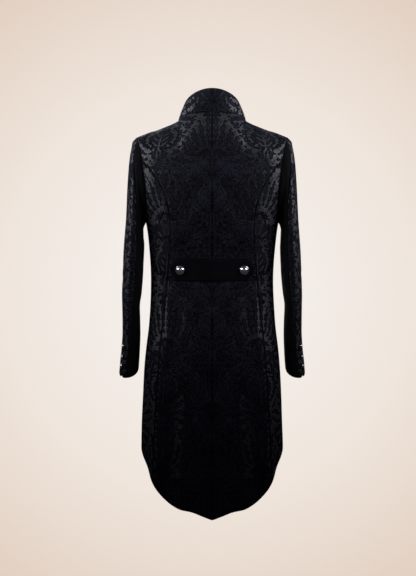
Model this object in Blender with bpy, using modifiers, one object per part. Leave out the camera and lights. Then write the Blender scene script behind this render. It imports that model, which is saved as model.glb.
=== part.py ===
"""A high-collared tailcoat that hangs as it is worn, with nobody in it.

Metres, +Z up. The coat faces -Y, the wearer's left is at +X, and z = 0 is at the two neck points,
where the shoulder seams meet the collar. Each piece of cloth is a wall of its own, cut from one
body form, so that the pieces meet edge to edge along their seams.
"""

import math

import bmesh
import bpy
from mathutils import Vector

CLOTH = 0.0016            # thickness of a panel with its lining
SEAM_GAP = 0.0003         # space between two panels at a seam
CORNER = 0.83             # exponent of the body's sections: 1 is an ellipse, less is squarer

# Body sections from the chest down: (height, half width, depth behind, depth in front)
BODY = (
    (-0.112, 0.219, 0.104, 0.104),
    (-0.150, 0.215, 0.109, 0.116),
    (-0.200, 0.204, 0.109, 0.126),
    (-0.240, 0.192, 0.106, 0.130),
    (-0.284, 0.1815, 0.101, 0.130),
    (-0.330, 0.175, 0.093, 0.125),
    (-0.385, 0.170, 0.084, 0.117),
    (-0.440, 0.168, 0.080, 0.112),
    (-0.500, 0.1695, 0.086, 0.114),
    (-0.561, 0.174, 0.097, 0.118),
    (-0.620, 0.1805, 0.107, 0.123),
    (-0.700, 0.187, 0.113, 0.127),
    (-0.781, 0.1906, 0.115, 0.129),
    (-0.891, 0.194, 0.117, 0.131),
    (-1.100, 0.194, 0.120, 0.133),
)
YOKE_HEIGHT = BODY[0][0]  # above this the panels run up to the shoulder seams and the neck
WAIST_HEIGHT = -0.440
SIDE_SEAM_ANGLE = 97.0    # degrees round from the centre back
RISE_STEP = 0.005         # height over which the form's upward direction is read
SHARP_ANGLE = 50.0

# Soft folds of the skirt: they start under the half belt and are deepest at the hem
FOLD_DEPTH = 0.005
FOLD_START = -0.480
FOLD_FULL = -0.980
FOLD_CENTRE = 50.0        # degrees round from the centre back
FOLD_COUNT = 10.0

# Shoulder seam: (half width, height)
SHOULDER = (
    (0.0925, 0.0), (0.104, -0.0065), (0.129, -0.0173), (0.155, -0.0275), (0.173, -0.0328), (0.208, -0.0470),
)
NECK_HALF_WIDTH = SHOULDER[0][0]
NECK_BACK = 0.060
NECK_FRONT = 0.085
NECK_RISE = 0.46          # slope of the neck seam from the front up to the back
NECK_CURVE = 2.6          # and how much steeper it gets towards the front, per metre
COLLAR_END_ANGLE = 150.0  # where the collar stops in front, from the centre back

# The collar's top edge
COLLAR_TOP_WIDTH = 0.072
COLLAR_TOP_BACK = 0.048
COLLAR_TOP_FRONT = 0.066
COLLAR_SIDE_HEIGHT = 0.0526
COLLAR_RISE = 0.326       # slope of the top edge at the side, from the front up to the back
COLLAR_BACK_CURVE = 7.2   # and how much steeper it gets behind and in front, per metre
COLLAR_FRONT_CURVE = 10.3
COLLAR_BULGE = 0.0015
COLLAR_ROWS = 3

# Armhole: apex on the back, then its lower half behind and in front: (angle, height)
ARMHOLE_HALF_WIDTH = 0.192
UNDERARM = (SIDE_SEAM_ANGLE, -0.277)
ARMHOLE_BACK = ((57.5, -0.150), (59.0, -0.190), (64.0, -0.228), (73.0, -0.258), UNDERARM)
ARMHOLE_FRONT = (UNDERARM, (111.0, -0.264), (117.0, -0.236), (119.5, -0.198), (121.0, -0.155))

# Princess seam of the back: (height, half width)
PRINCESS = (
    (-0.112, 0.192), (-0.150, 0.160), (-0.190, 0.136), (-0.240, 0.119), (-0.300, 0.112), (-0.360, 0.113),
    (-0.410, 0.118), (-0.500, 0.128), (-0.600, 0.138), (-0.700, 0.145), (-0.850, 0.153), (-1.000, 0.159),
)

# Hem: (angle, height), from the tail's point up the cutaway to the front edge
HEM = (
    (0.0, -1.084), (4.9, -1.075), (12.4, -1.0635), (24.4, -1.055), (36.0, -1.036), (50.6, -0.993),
    (64.5, -0.952), (80.0, -0.911), (90.0, -0.889), (97.0, -0.872), (110.0, -0.818), (125.0, -0.735),
    (140.0, -0.640), (155.0, -0.545), (168.0, -0.482), (184.0, -0.452),
)

# Front edge: a straight line from the collar's end to where the fronts cross at the waist
EDGE_TOP = (0.047, -0.049)
EDGE_WAIST = (-0.014, -0.430)
UNDERLAP = 0.0034         # how much deeper the right front lies where the left one covers it
UNDERLAP_SIDE = 0.020     # it deepens from this far from the centre plane plus the run, towards the edge,
UNDERLAP_SIDE_RUN = 0.045
UNDERLAP_TOP = -0.180     # and from this height down
UNDERLAP_TOP_RUN = 0.100

# Rows of the panels, as heights down to the waist and the skirt; the last rows fan out to the hem
ROW_HEIGHTS = (
    -0.112, -0.140, -0.170, -0.200, -0.230, -0.258, -0.284, -0.315, -0.346, -0.379,
    -0.410, -0.441, -0.495, -0.560, -0.640, -0.730,
)
HEM_ROWS = 4
YOKE_STEPS = (0.0, 0.08, 0.16, 0.24, 0.32, 0.40, 0.60, 0.80, 1.0)
HINDARM_STEP = 5          # the yoke row at which the sleeve's back seam meets the armhole

# Columns of the back, as a share of the way from the centre to the armhole
NECK_SHARE = NECK_HALF_WIDTH / SHOULDER[-1][0]
BACK_COLUMNS = (0.0, 0.12, 0.24, 0.34, 0.41, NECK_SHARE, 0.57, 0.70, 0.83, 0.92, 1.0)
NECK_COLUMNS = BACK_COLUMNS.index(NECK_SHARE)
FRONT_NECK_ANGLES = (105.0, 120.0, 135.0, COLLAR_END_ANGLE)
NECK_TILT = 20.0          # degrees that the cloth falls at the neck points, behind
FRONT_NECK_TILT = 30.0
SHOULDER_TILT = 6.0
BACK_TILT = 55.0
FRONT_EDGE_TILT = 45.0
YOKE_REACH = 0.38         # how far the yoke's curves hold their first direction

# Sleeve: (height, inner edge, outer edge, back, front)
SLEEVE = (
    (-0.300, 0.189, 0.239, 0.070, -0.074),
    (-0.340, 0.1865, 0.2415, 0.070, -0.075),
    (-0.385, 0.188, 0.244, 0.068, -0.075),
    (-0.430, 0.1905, 0.2465, 0.065, -0.074),
    (-0.475, 0.1945, 0.248, 0.060, -0.074),
    (-0.505, 0.199, 0.2475, 0.057, -0.075),
    (-0.545, 0.1985, 0.247, 0.053, -0.076),
    (-0.590, 0.198, 0.2475, 0.049, -0.078),
    (-0.630, 0.199, 0.250, 0.046, -0.079),
    (-0.660, 0.2005, 0.2535, 0.044, -0.080),
    (-0.710, 0.205, 0.2575, 0.042, -0.081),
)
SLEEVE_ROWS = (-0.300, -0.340, -0.385, -0.430, -0.475, -0.505, -0.545, -0.590, -0.630, -0.660)
SLEEVE_HEAD_STEPS = (0.0, 0.12, 0.26, 0.44, 0.66)
# Which way each armhole point goes round the sleeve: (armhole point, angle; 0 is behind, 90 outside)
SLEEVE_ANGLES = ((0, 90.0), (5, 2.0), (8, -20.0), (13, -90.0), (18, -158.0), (26, -270.0))
SLEEVE_CORNER = 0.9
FOREARM_POINT = 17        # armhole point of the seam inside the front fold of the sleeve
CUFF_HEIGHT = -0.691
CUFF_BACK_DROP = 0.0145
CUFF_OUTER_DROP = 0.003
SLEEVE_HEAD_WAY = (0.8, 0.15, -0.6)  # which way the sleeve's cloth leaves the armhole
SLEEVE_HEAD_DEPTH = 0.06  # distance from the shoulder seam at which it leans fully forwards or back
SLEEVE_HEAD_EASE = 0.004  # how far it holds that way, and how much more for each metre that it drops
SLEEVE_HEAD_REACH = 0.12
SLEEVE_LEAN = (-0.08, 0.0, 1.0)      # which way it arrives below the armhole, and its hold
SLEEVE_HOLD = 0.45

# Half belt, cut on the backs between two of their rows
BELT_ROWS = (9, 10, 11)
BELT_STRAIGHT_COLUMN = 8  # the belt is straight up to this column and then pointed
BELT_POINT = 0.115
BELT_WALL = 0.0028
BUTTON_GAP = 0.0004

# Domed buttons: (distance from the axis, height), both as shares of the radius
BUTTON_PROFILE = (
    (0.0, 0.78), (0.38, 0.72), (0.70, 0.54), (0.90, 0.38), (1.0, 0.27), (0.93, 0.16), (0.24, 0.16),
    (0.24, 0.0), (0.0, 0.0),
)
BUTTON_STEPS = 18
SMALL_BUTTON_STEPS = 12
BELT_BUTTON_PLACE = (0.0859, -0.4120)
BELT_BUTTON_RADIUS = 0.0125
CUFF_BUTTON_RADIUS = 0.0060
CUFF_BUTTON_HEIGHTS = (-0.6196, -0.6485, -0.6738)
CUFF_BUTTON_ANGLE = 44.0
CUFF_ANGLE_STEP = 4.0     # how far round and how far up the sleeve's facing is read
CUFF_HEIGHT_STEP = 0.01
FRONT_BUTTON_HEIGHT = -0.425

# Colours: linear base colour, roughness, metallic
FINISHES = {
    "damask": ((0.012, 0.012, 0.016), 0.62, 0.0),
    "velvet": ((0.004, 0.004, 0.005), 0.80, 0.0),
    "metal": ((0.55, 0.54, 0.53), 0.28, 1.0),
}


def read_curve(table, key, column=1):
    """One column of a table, read smoothly between its rows at a value of the first column."""
    rows = sorted(table)
    last = len(rows) - 1
    if key <= rows[0][0]:
        return rows[0][column]
    if key >= rows[last][0]:
        return rows[last][column]
    row = max(i for i in range(last) if rows[i][0] <= key)

    def slope(i):
        before, after = rows[max(i - 1, 0)], rows[min(i + 1, last)]
        return (after[column] - before[column]) / (after[0] - before[0])

    span = rows[row + 1][0] - rows[row][0]
    t = (key - rows[row][0]) / span
    return (
        rows[row][column] * (2 * t**3 - 3 * t**2 + 1)
        + rows[row + 1][column] * (3 * t**2 - 2 * t**3)
        + span * slope(row) * (t**3 - 2 * t**2 + t)
        + span * slope(row + 1) * (t**3 - t**2)
    )


def ease(value):
    """0 to 1, with a soft start and a soft end."""
    t = min(max(value, 0.0), 1.0)
    return t * t * (3 - 2 * t)


def curve_point(start, start_pull, end_pull, end, t):
    """A point of the Bezier curve through four control points."""
    u = 1 - t
    return start * u**3 + start_pull * (3 * u * u * t) + end_pull * (3 * u * t * t) + end * t**3


# The body form

def body_point(angle, height):
    """A point of the body form, at an angle round from the centre back."""
    across, along = math.sin(math.radians(angle)), math.cos(math.radians(angle))
    half_width = read_curve(BODY, height, 1)
    depth = read_curve(BODY, height, 2 if along > 0 else 3)
    ramp = ease((FOLD_START - height) / (FOLD_START - FOLD_FULL))
    wave = math.sin(math.radians(2 * angle)) * math.cos(math.radians(FOLD_COUNT * (angle - FOLD_CENTRE)))
    fold = FOLD_DEPTH * ramp * wave
    return Vector((
        half_width * math.copysign(abs(across) ** CORNER, across) + fold * across,
        depth * math.copysign(abs(along) ** CORNER, along) + fold * along,
        height,
    ))


def body_angle(x, height, in_front=False):
    """The angle at which the body form is this far from the centre plane."""
    share = min(abs(x) / read_curve(BODY, height, 1), 1.0)
    angle = math.copysign(math.degrees(math.asin(share ** (1 / CORNER))), x)
    return 180.0 - angle if in_front else angle


def body_rise(angle, height):
    """The direction in which the body form runs upwards."""
    return (body_point(angle, height) - body_point(angle, height - RISE_STEP)).normalized()


def neck_point(angle):
    """A point of the neck seam, at an angle round from the centre back."""
    along = math.cos(math.radians(angle))
    y = along * (NECK_BACK if along > 0 else NECK_FRONT)
    return Vector((NECK_HALF_WIDTH * math.sin(math.radians(angle)), y, NECK_RISE * y - NECK_CURVE * y * y))


def shoulder_point(x):
    return Vector((x, 0.0, read_curve(SHOULDER, x)))


def edge_x(height):
    """How far from the centre plane the front edge is."""
    share = (EDGE_TOP[1] - height) / (EDGE_TOP[1] - EDGE_WAIST[1])
    return EDGE_TOP[0] + share * (EDGE_WAIST[0] - EDGE_TOP[0])


def yoke_column(top, foot_angle, tilt, forward):
    """Points from the shoulder seam or the neck down to the yoke's height."""
    foot = body_point(foot_angle, YOKE_HEIGHT)
    reach = YOKE_REACH * (foot - top).length
    fall = math.radians(tilt)
    start_pull = top + reach * Vector((0.0, forward * math.cos(fall), -math.sin(fall)))
    end_pull = foot + reach * body_rise(foot_angle, YOKE_HEIGHT)
    return [curve_point(top, start_pull, end_pull, foot, t) for t in YOKE_STEPS]


def fill_patch(left, right, top, bottom):
    """A grid of (angle, height) pairs between four edges, each a list of such pairs."""
    rows, columns = len(left), len(top)
    grid = []
    for k in range(rows):
        t = k / (rows - 1)
        row = []
        for j in range(columns):
            s = j / (columns - 1)
            row.append(tuple(
                (1 - s) * left[k][i] + s * right[k][i] + (1 - t) * top[j][i] + t * bottom[j][i]
                - (1 - s) * (1 - t) * top[0][i] - s * (1 - t) * top[-1][i]
                - (1 - s) * t * bottom[0][i] - s * t * bottom[-1][i]
                for i in (0, 1)
            ))
        grid.append(row)
    return grid


def quads_of(grid, outward=True):
    """The faces between the rows of a grid of points, as lists of four corners."""
    faces = []
    for upper, lower in zip(grid, grid[1:]):
        for j in range(len(upper) - 1):
            face = [upper[j], upper[j + 1], lower[j + 1], lower[j]]
            faces.append(face if outward else face[::-1])
    return faces


def transposed(columns):
    return [list(row) for row in zip(*columns)]


# The panels of the left half, as grids of outer points

def row_heights(hem_height):
    """Heights of the rows down to a hem."""
    last = ROW_HEIGHTS[-1]
    return list(ROW_HEIGHTS) + [last + (hem_height - last) * (i + 1) / HEM_ROWS for i in range(HEM_ROWS)]


def princess_seam():
    """(angle, height) pairs down the seam between the back and the side back."""
    hem_angle = body_angle(read_curve(PRINCESS, PRINCESS[-1][0]), PRINCESS[-1][0])
    heights = row_heights(read_curve(HEM, hem_angle))
    return [(body_angle(read_curve(PRINCESS, z), z), z) for z in heights]


def side_seam():
    """(angle, height) pairs down the seam under the arm; above the waist its rows are closer."""
    squeeze = (UNDERARM[1] - WAIST_HEIGHT) / (YOKE_HEIGHT - WAIST_HEIGHT)
    heights = row_heights(read_curve(HEM, SIDE_SEAM_ANGLE))
    return [
        (SIDE_SEAM_ANGLE, WAIST_HEIGHT + (z - WAIST_HEIGHT) * squeeze if z > WAIST_HEIGHT else z)
        for z in heights
    ]


def back_grid():
    """The back: the yoke's rows, then the rows down to the hem."""
    columns = []
    seam = princess_seam()
    for share in BACK_COLUMNS:
        x = share * SHOULDER[-1][0]
        foot_angle = body_angle(share * ARMHOLE_HALF_WIDTH, YOKE_HEIGHT)
        if share <= NECK_SHARE:
            angle = math.degrees(math.asin(min(x / NECK_HALF_WIDTH, 1.0)))
            top = neck_point(angle)
            tilt = BACK_TILT + (NECK_TILT - BACK_TILT) * angle / 90
        else:
            top = shoulder_point(x)
            tilt = NECK_TILT + (SHOULDER_TILT - NECK_TILT) * ease(
                (x - NECK_HALF_WIDTH) / (SHOULDER[-1][0] - NECK_HALF_WIDTH))
        column = yoke_column(top, foot_angle, tilt, 1.0)
        hem_height = seam[-1][1]
        if share < 1:
            hem_x = share * body_point(*seam[-1]).x
            hem_height = read_curve(HEM, body_angle(hem_x, hem_height))
        for (angle, _), height in zip(seam[1:], row_heights(hem_height)[1:]):
            if share < 1:
                angle = body_angle(share * read_curve(PRINCESS, height), height)
            column.append(body_point(angle, height))
        columns.append(column)
    return transposed(columns)


def side_back_grid():
    left, right = princess_seam(), side_seam()
    top = [left[0], *ARMHOLE_BACK]
    count = len(top)
    bottom = [left[-1]]
    for j in range(1, count):
        angle = left[-1][0] + (SIDE_SEAM_ANGLE - left[-1][0]) * j / (count - 1)
        bottom.append((angle, read_curve(HEM, angle)))
    return [[body_point(*pair) for pair in row] for row in fill_patch(left, right, top, bottom)]


def front_grids():
    """The front: its lower part from the side seam to the edge, and its yoke from the armhole to the edge."""
    columns, feet = [], []
    edge_foot = edge_x(YOKE_HEIGHT)
    for share in reversed(BACK_COLUMNS[NECK_COLUMNS + 1:]):
        way = ease((share - NECK_SHARE) / (1 - NECK_SHARE))
        tilt = FRONT_NECK_TILT + (SHOULDER_TILT - FRONT_NECK_TILT) * way
        feet.append(body_angle(share * ARMHOLE_HALF_WIDTH, YOKE_HEIGHT, in_front=True))
        columns.append(yoke_column(shoulder_point(share * SHOULDER[-1][0]), feet[-1], tilt, -1.0))
    for angle in (90.0, *FRONT_NECK_ANGLES):
        way = (angle - 90.0) / (COLLAR_END_ANGLE - 90.0)
        foot_x = NECK_SHARE * ARMHOLE_HALF_WIDTH * (1 - way) + edge_foot * way
        feet.append(body_angle(foot_x, YOKE_HEIGHT, in_front=True))
        tilt = FRONT_NECK_TILT + (FRONT_EDGE_TILT - FRONT_NECK_TILT) * way
        columns.append(yoke_column(neck_point(angle), feet[-1], tilt, -1.0))
    left = side_seam()
    corner_height = HEM[-1][1]
    corner_angle = body_angle(edge_x(corner_height), corner_height, in_front=True)
    right = []
    for _, z in left:
        share = (left[0][1] - z) / (left[0][1] - left[-1][1])
        height = YOKE_HEIGHT + share * (corner_height - YOKE_HEIGHT)
        right.append((body_angle(edge_x(height), height, in_front=True), height))
    top = [*ARMHOLE_FRONT, *((angle, YOKE_HEIGHT) for angle in feet)]
    bottom = []
    for j in range(len(top)):
        angle = SIDE_SEAM_ANGLE + (corner_angle - SIDE_SEAM_ANGLE) * j / (len(top) - 1)
        bottom.append((angle, read_curve(HEM, angle)))
    right[-1] = bottom[-1]
    lower = [[body_point(*pair) for pair in row] for row in fill_patch(left, right, top, bottom)]
    yoke = transposed(columns)
    yoke[-1] = lower[0][len(ARMHOLE_FRONT):]
    return yoke, lower


# The sleeve

def sleeve_section(angle, height):
    """A point of the sleeve below the armhole: angle 0 is behind, 90 on the outer side."""
    inner, outer, back, front = (read_curve(SLEEVE, height, column) for column in (1, 2, 3, 4))
    across, along = math.sin(math.radians(angle)), math.cos(math.radians(angle))
    return Vector((
        (inner + outer) / 2 + (outer - inner) / 2 * math.copysign(abs(across) ** SLEEVE_CORNER, across),
        (back + front) / 2 + (back - front) / 2 * math.copysign(abs(along) ** SLEEVE_CORNER, along),
        height,
    ))


def cuff_height(angle):
    """The cuff is longest behind and shortest in front."""
    turn = math.radians(angle)
    return CUFF_HEIGHT - CUFF_BACK_DROP * math.cos(turn) - CUFF_OUTER_DROP * math.sin(turn)


def sleeve_column(start, point):
    """Points down the sleeve from one point of the armhole."""
    angle = read_curve(SLEEVE_ANGLES, point)
    end = sleeve_section(angle, SLEEVE_ROWS[0])
    drop = start.z - end.z
    outwards, sideways, down = SLEEVE_HEAD_WAY
    sideways *= math.copysign(min(abs(start.y) / SLEEVE_HEAD_DEPTH, 1), start.y)
    start_pull = start + (SLEEVE_HEAD_EASE + SLEEVE_HEAD_REACH * drop) * Vector((outwards, sideways, down))
    end_pull = end + SLEEVE_HOLD * drop * Vector(SLEEVE_LEAN)
    column = [curve_point(start, start_pull, end_pull, end, t) for t in SLEEVE_HEAD_STEPS]
    column += [sleeve_section(angle, z) for z in SLEEVE_ROWS]
    column.append(sleeve_section(angle, cuff_height(angle)))
    return column


def sleeve_facing(angle, height):
    """The way that the sleeve's outer face looks."""
    around = sleeve_section(angle + CUFF_ANGLE_STEP, height) - sleeve_section(angle - CUFF_ANGLE_STEP, height)
    rise = sleeve_section(angle, height + CUFF_HEIGHT_STEP) - sleeve_section(angle, height - CUFF_HEIGHT_STEP)
    facing = rise.cross(around).normalized()
    return facing if facing.x > 0 else -facing


def armhole_points(back, side_back, yoke, lower):
    """The armhole, from the shoulder point down the back, under the arm and up the front."""
    steps = len(YOKE_STEPS)
    points = [back[row][-1] for row in range(steps)]
    points += side_back[0][1:]
    points += lower[0][1:len(ARMHOLE_FRONT) + 1]
    points += [yoke[row][0] for row in reversed(range(steps - 1))]
    return points


# The collar

def collar_grid():
    """The collar's left half, from its end in front round to the centre back, top edge first."""
    back_angles = []
    for share in BACK_COLUMNS[:NECK_COLUMNS + 1]:
        x = share * SHOULDER[-1][0]
        back_angles.append(math.degrees(math.asin(min(x / NECK_HALF_WIDTH, 1.0))))
    columns = []
    for angle in (*back_angles[:-1], 90.0, *FRONT_NECK_ANGLES):
        base = neck_point(angle)
        along = math.cos(math.radians(angle))
        y = along * (COLLAR_TOP_BACK if along > 0 else COLLAR_TOP_FRONT)
        curve = COLLAR_BACK_CURVE if along > 0 else -COLLAR_FRONT_CURVE
        top = Vector((
            COLLAR_TOP_WIDTH * math.sin(math.radians(angle)),
            y,
            COLLAR_SIDE_HEIGHT + COLLAR_RISE * y + curve * y * y,
        ))
        out = Vector((math.sin(math.radians(angle)), along, 0.0))
        columns.append([
            top.lerp(base, i / COLLAR_ROWS) + out * COLLAR_BULGE * math.sin(math.pi * i / COLLAR_ROWS)
            for i in range(COLLAR_ROWS + 1)
        ])
        columns[-1][-1] = base
    return transposed(columns)


# Cloth walls

def key_of(point):
    return tuple(round(value, 6) for value in point)


def wall_directions(faces):
    """For each corner, the way out of the cloth, longer at a bend so that the wall keeps its thickness."""
    around = {}
    for face in faces:
        normal = (face[2] - face[0]).cross(face[-1] - face[1]).normalized()
        for corner in face:
            around.setdefault(key_of(corner), []).append(normal)
    directions = {}
    for key, normals in around.items():
        mean = sum(normals, Vector())
        if abs(key[0]) < 1e-6:
            mean.x = 0.0
        mean.normalize()
        evenness = sum(mean.dot(normal) for normal in normals) / len(normals)
        directions[key] = mean / max(evenness, 0.5)
    return directions


def edges_of_piece(faces):
    """The edges that one face alone has, each with that face."""
    found = {}
    for face in faces:
        for i, corner in enumerate(face):
            ends = (key_of(corner), key_of(face[(i + 1) % len(face)]))
            found.setdefault(tuple(sorted(ends)), []).append((ends, face))
    return [uses[0] for uses in found.values() if len(uses) == 1]


def steps_from_seams(faces, half):
    """How far each corner on a piece's edge steps back from the seam line, within the cloth."""
    ways = {}
    for (first, second), face in edges_of_piece(faces):
        if half and abs(first[0]) < 1e-6 and abs(second[0]) < 1e-6:
            continue
        along = (Vector(second) - Vector(first)).normalized()
        inward = sum(face, Vector()) / len(face) - Vector(first)
        inward -= inward.dot(along) * along
        for key in (first, second):
            ways.setdefault(key, []).append(inward.normalized())
    steps = {}
    for key, around in ways.items():
        mean = sum(around, Vector()).normalized()
        steps[key] = mean * (SEAM_GAP / 2) / max(mean.dot(around[0]), 0.5)
        if half and abs(key[0]) < 1e-6:
            steps[key].x = 0.0
    return steps


def cloth_mesh(name, faces, directions, wall=CLOTH, lift=0.0, half=False):
    """A closed wall: outer faces lifted off their points, inner ones a wall's thickness behind, and a rim.

    A half piece stays open at the centre plane, where a mirror completes it.
    """
    steps = steps_from_seams(faces, half)
    shape = bmesh.new()
    outer, inner = {}, {}
    for face in faces:
        for corner in face:
            key = key_of(corner)
            if key in outer:
                continue
            place = corner + directions[key] * lift + steps.get(key, Vector())
            outer[key] = shape.verts.new(place)
            inner[key] = shape.verts.new(place - directions[key] * wall)
    for face in faces:
        keys = [key_of(corner) for corner in face]
        shape.faces.new([outer[key] for key in keys])
        shape.faces.new([inner[key] for key in (keys[0], *reversed(keys[1:]))])
    for (first, second), _ in edges_of_piece(faces):
        if half and abs(first[0]) < 1e-6 and abs(second[0]) < 1e-6:
            continue
        rim = [outer[second], outer[first], inner[first], inner[second]]
        # a rim that twists is split along the same diagonal as the rim that it faces
        shape.faces.new(rim if second < first else rim[1:] + rim[:1])
    for face in shape.faces:
        face.smooth = True
    mesh = bpy.data.meshes.new(name)
    shape.to_mesh(mesh)
    shape.free()
    mesh.set_sharp_from_angle(angle=math.radians(SHARP_ANGLE))
    return mesh


def clear_scene():
    for thing in list(bpy.data.objects):
        bpy.data.objects.remove(thing, do_unlink=True)


def make_material(name):
    colour, roughness, metallic = FINISHES[name]
    material = bpy.data.materials.new(name)
    material.use_nodes = True
    shader = material.node_tree.nodes["Principled BSDF"]
    shader.inputs["Base Color"].default_value = (*colour, 1.0)
    shader.inputs["Roughness"].default_value = roughness
    shader.inputs["Metallic"].default_value = metallic
    material.diffuse_color = (*colour, 1.0)
    return material


def add_piece(name, mesh, material, collection, mirrored=False):
    piece = bpy.data.objects.new(name, mesh)
    if not mesh.materials:
        mesh.materials.append(material)
    if mirrored:
        piece.scale.x = -1.0
    collection.objects.link(piece)
    return piece


def add_mirror(piece):
    mirror = piece.modifiers.new("other half", "MIRROR")
    mirror.use_axis[0] = True
    mirror.merge_threshold = 0.00001


def underlapped(mesh, name):
    """A copy of the front whose edge lies deeper, under the other front."""
    copy = mesh.copy()
    copy.name = name
    for vertex in copy.vertices:
        near_edge = 1 - ease((vertex.co.x - UNDERLAP_SIDE) / UNDERLAP_SIDE_RUN)
        below_chest = ease((UNDERLAP_TOP - vertex.co.z) / UNDERLAP_TOP_RUN)
        vertex.co.y += UNDERLAP * near_edge * below_chest
    return copy


def button_mesh(name, radius, steps):
    """A domed button with a rolled rim, on a short shank, turned about its own axis."""
    points = [(radius * out, 0.0, radius * up) for out, up in BUTTON_PROFILE]
    mesh = bpy.data.meshes.new(name)
    mesh.from_pydata(points, [(i, i + 1) for i in range(len(points) - 1)], [])
    piece = bpy.data.objects.new(name, mesh)
    screw = piece.modifiers.new("turning", "SCREW")
    screw.steps = steps
    screw.render_steps = steps
    screw.use_merge_vertices = True
    screw.merge_threshold = 0.00001
    screw.use_smooth_shade = True
    return piece


def place_button(piece, point, outward, material, collection):
    """Seats a button a hair off the cloth, facing straight out of it."""
    piece.data.materials.append(material)
    piece.location = point + outward * BUTTON_GAP
    piece.rotation_mode = "QUATERNION"
    piece.rotation_quaternion = Vector((0.0, 0.0, 1.0)).rotation_difference(outward)
    collection.objects.link(piece)


def belt_faces(back, directions):
    """The belt's left half, over the back's own points, with its pointed end."""
    first = len(YOKE_STEPS) - 1
    above, middle, below = (back[first + row] for row in BELT_ROWS)

    def between(start, end, share):
        point = start.lerp(end, share)
        directions[key_of(point)] = directions[key_of(start)].lerp(directions[key_of(end)], share)
        return point

    straight_end = middle[BELT_STRAIGHT_COLUMN].x
    grid = [[], [], []]
    for upper, centre, lower in zip(above, middle, below):
        width = min((BELT_POINT - centre.x) / (BELT_POINT - straight_end), 1.0)
        if width <= 0:
            break
        for row, point in zip(grid, (between(centre, upper, width), centre, between(centre, lower, width))):
            row.append(point)
    last = len(grid[1]) - 1
    share = (BELT_POINT - middle[last].x) / (middle[last + 1].x - middle[last].x)
    tip = between(middle[last], middle[last + 1], share)
    return quads_of(grid) + [[grid[0][-1], tip, grid[1][-1]], [grid[1][-1], tip, grid[2][-1]]]


def surface_at(back, directions, place):
    """A point of the belt's outer face over the back, and the way it faces."""
    x, height = place
    row = next(k for k in range(len(back) - 1) if back[k + 1][0].z <= height and k >= len(YOKE_STEPS) - 1)
    column = next(j for j in range(len(BACK_COLUMNS) - 1) if back[row][j + 1].x >= x)
    across = (x - back[row][column].x) / (back[row][column + 1].x - back[row][column].x)
    down = (back[row][0].z - height) / (back[row][0].z - back[row + 1][0].z)

    def blend(read):
        upper = read(back[row][column]).lerp(read(back[row][column + 1]), across)
        lower = read(back[row + 1][column]).lerp(read(back[row + 1][column + 1]), across)
        return upper.lerp(lower, down)

    point = blend(lambda corner: corner)
    outward = blend(lambda corner: directions[key_of(corner)]).normalized()
    return point + outward * (SEAM_GAP + BELT_WALL), outward


def mirrored_vector(vector):
    return Vector((-vector.x, vector.y, vector.z))


def build_coat():
    clear_scene()
    coat = bpy.data.collections.new("tailcoat")
    bpy.context.scene.collection.children.link(coat)
    materials = {name: make_material(name) for name in FINISHES}

    back, side_back = back_grid(), side_back_grid()
    front_yoke, front_lower = front_grids()
    ring = armhole_points(back, side_back, front_yoke, front_lower)
    sleeve = transposed([sleeve_column(start, point) for point, start in enumerate(ring)])
    sleeve_faces = {
        "top": quads_of([row[:HINDARM_STEP + 1] for row in sleeve], outward=False)
        + quads_of([row[FOREARM_POINT:] for row in sleeve], outward=False),
        "under": quads_of([row[HINDARM_STEP:FOREARM_POINT + 1] for row in sleeve], outward=False),
    }
    panels = {
        "back": quads_of(back),
        "side_back": quads_of(side_back),
        "front": quads_of(front_yoke) + quads_of(front_lower),
        "top_sleeve": sleeve_faces["top"],
        "under_sleeve": sleeve_faces["under"],
        "collar": quads_of(collar_grid()),
    }
    directions = wall_directions([face for faces in panels.values() for face in faces])

    for name in ("back", "side_back", "front", "top_sleeve", "under_sleeve"):
        material = materials["velvet" if name == "under_sleeve" else "damask"]
        mesh = cloth_mesh(name, panels[name], directions)
        add_piece(f"{name}_left", mesh, material, coat)
        other = underlapped(mesh, "front_under") if name == "front" else mesh
        add_piece(f"{name}_right", other, material, coat, mirrored=True)

    collar = cloth_mesh("collar", panels["collar"], directions, half=True)
    add_mirror(add_piece("collar", collar, materials["damask"], coat))
    belt = cloth_mesh("half_belt", belt_faces(back, directions), directions, BELT_WALL,
                      SEAM_GAP + BELT_WALL, half=True)
    add_mirror(add_piece("half_belt", belt, materials["velvet"], coat))

    place, outward = surface_at(back, directions, BELT_BUTTON_PLACE)
    for side, turned in (("left", lambda v: v), ("right", mirrored_vector)):
        button = button_mesh(f"belt_button_{side}", BELT_BUTTON_RADIUS, BUTTON_STEPS)
        place_button(button, turned(place), turned(outward), materials["metal"], coat)
        for number, height in enumerate(CUFF_BUTTON_HEIGHTS, 1):
            spot = turned(sleeve_section(CUFF_BUTTON_ANGLE, height))
            facing = turned(sleeve_facing(CUFF_BUTTON_ANGLE, height))
            button = button_mesh(f"cuff_button_{side}_{number}", CUFF_BUTTON_RADIUS, SMALL_BUTTON_STEPS)
            place_button(button, spot, facing, materials["metal"], coat)
    front_spot = body_point(180.0, FRONT_BUTTON_HEIGHT)
    button = button_mesh("front_button", BELT_BUTTON_RADIUS, BUTTON_STEPS)
    place_button(button, front_spot, Vector((0.0, -1.0, 0.0)), materials["metal"], coat)


build_coat()
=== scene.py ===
"""A high-collared tailcoat in black damask with a velvet half belt, hung as it is worn.

Metres, +Z up. The coat faces -Y, the wearer's left is at +X, and z = 0 is where the shoulder seams
meet the collar. Cloth panels are closed shells, cut from the same body form as the solids.
"""

import math

import bpy
import numpy as np
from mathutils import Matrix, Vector
from mathutils.kdtree import KDTree


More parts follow.
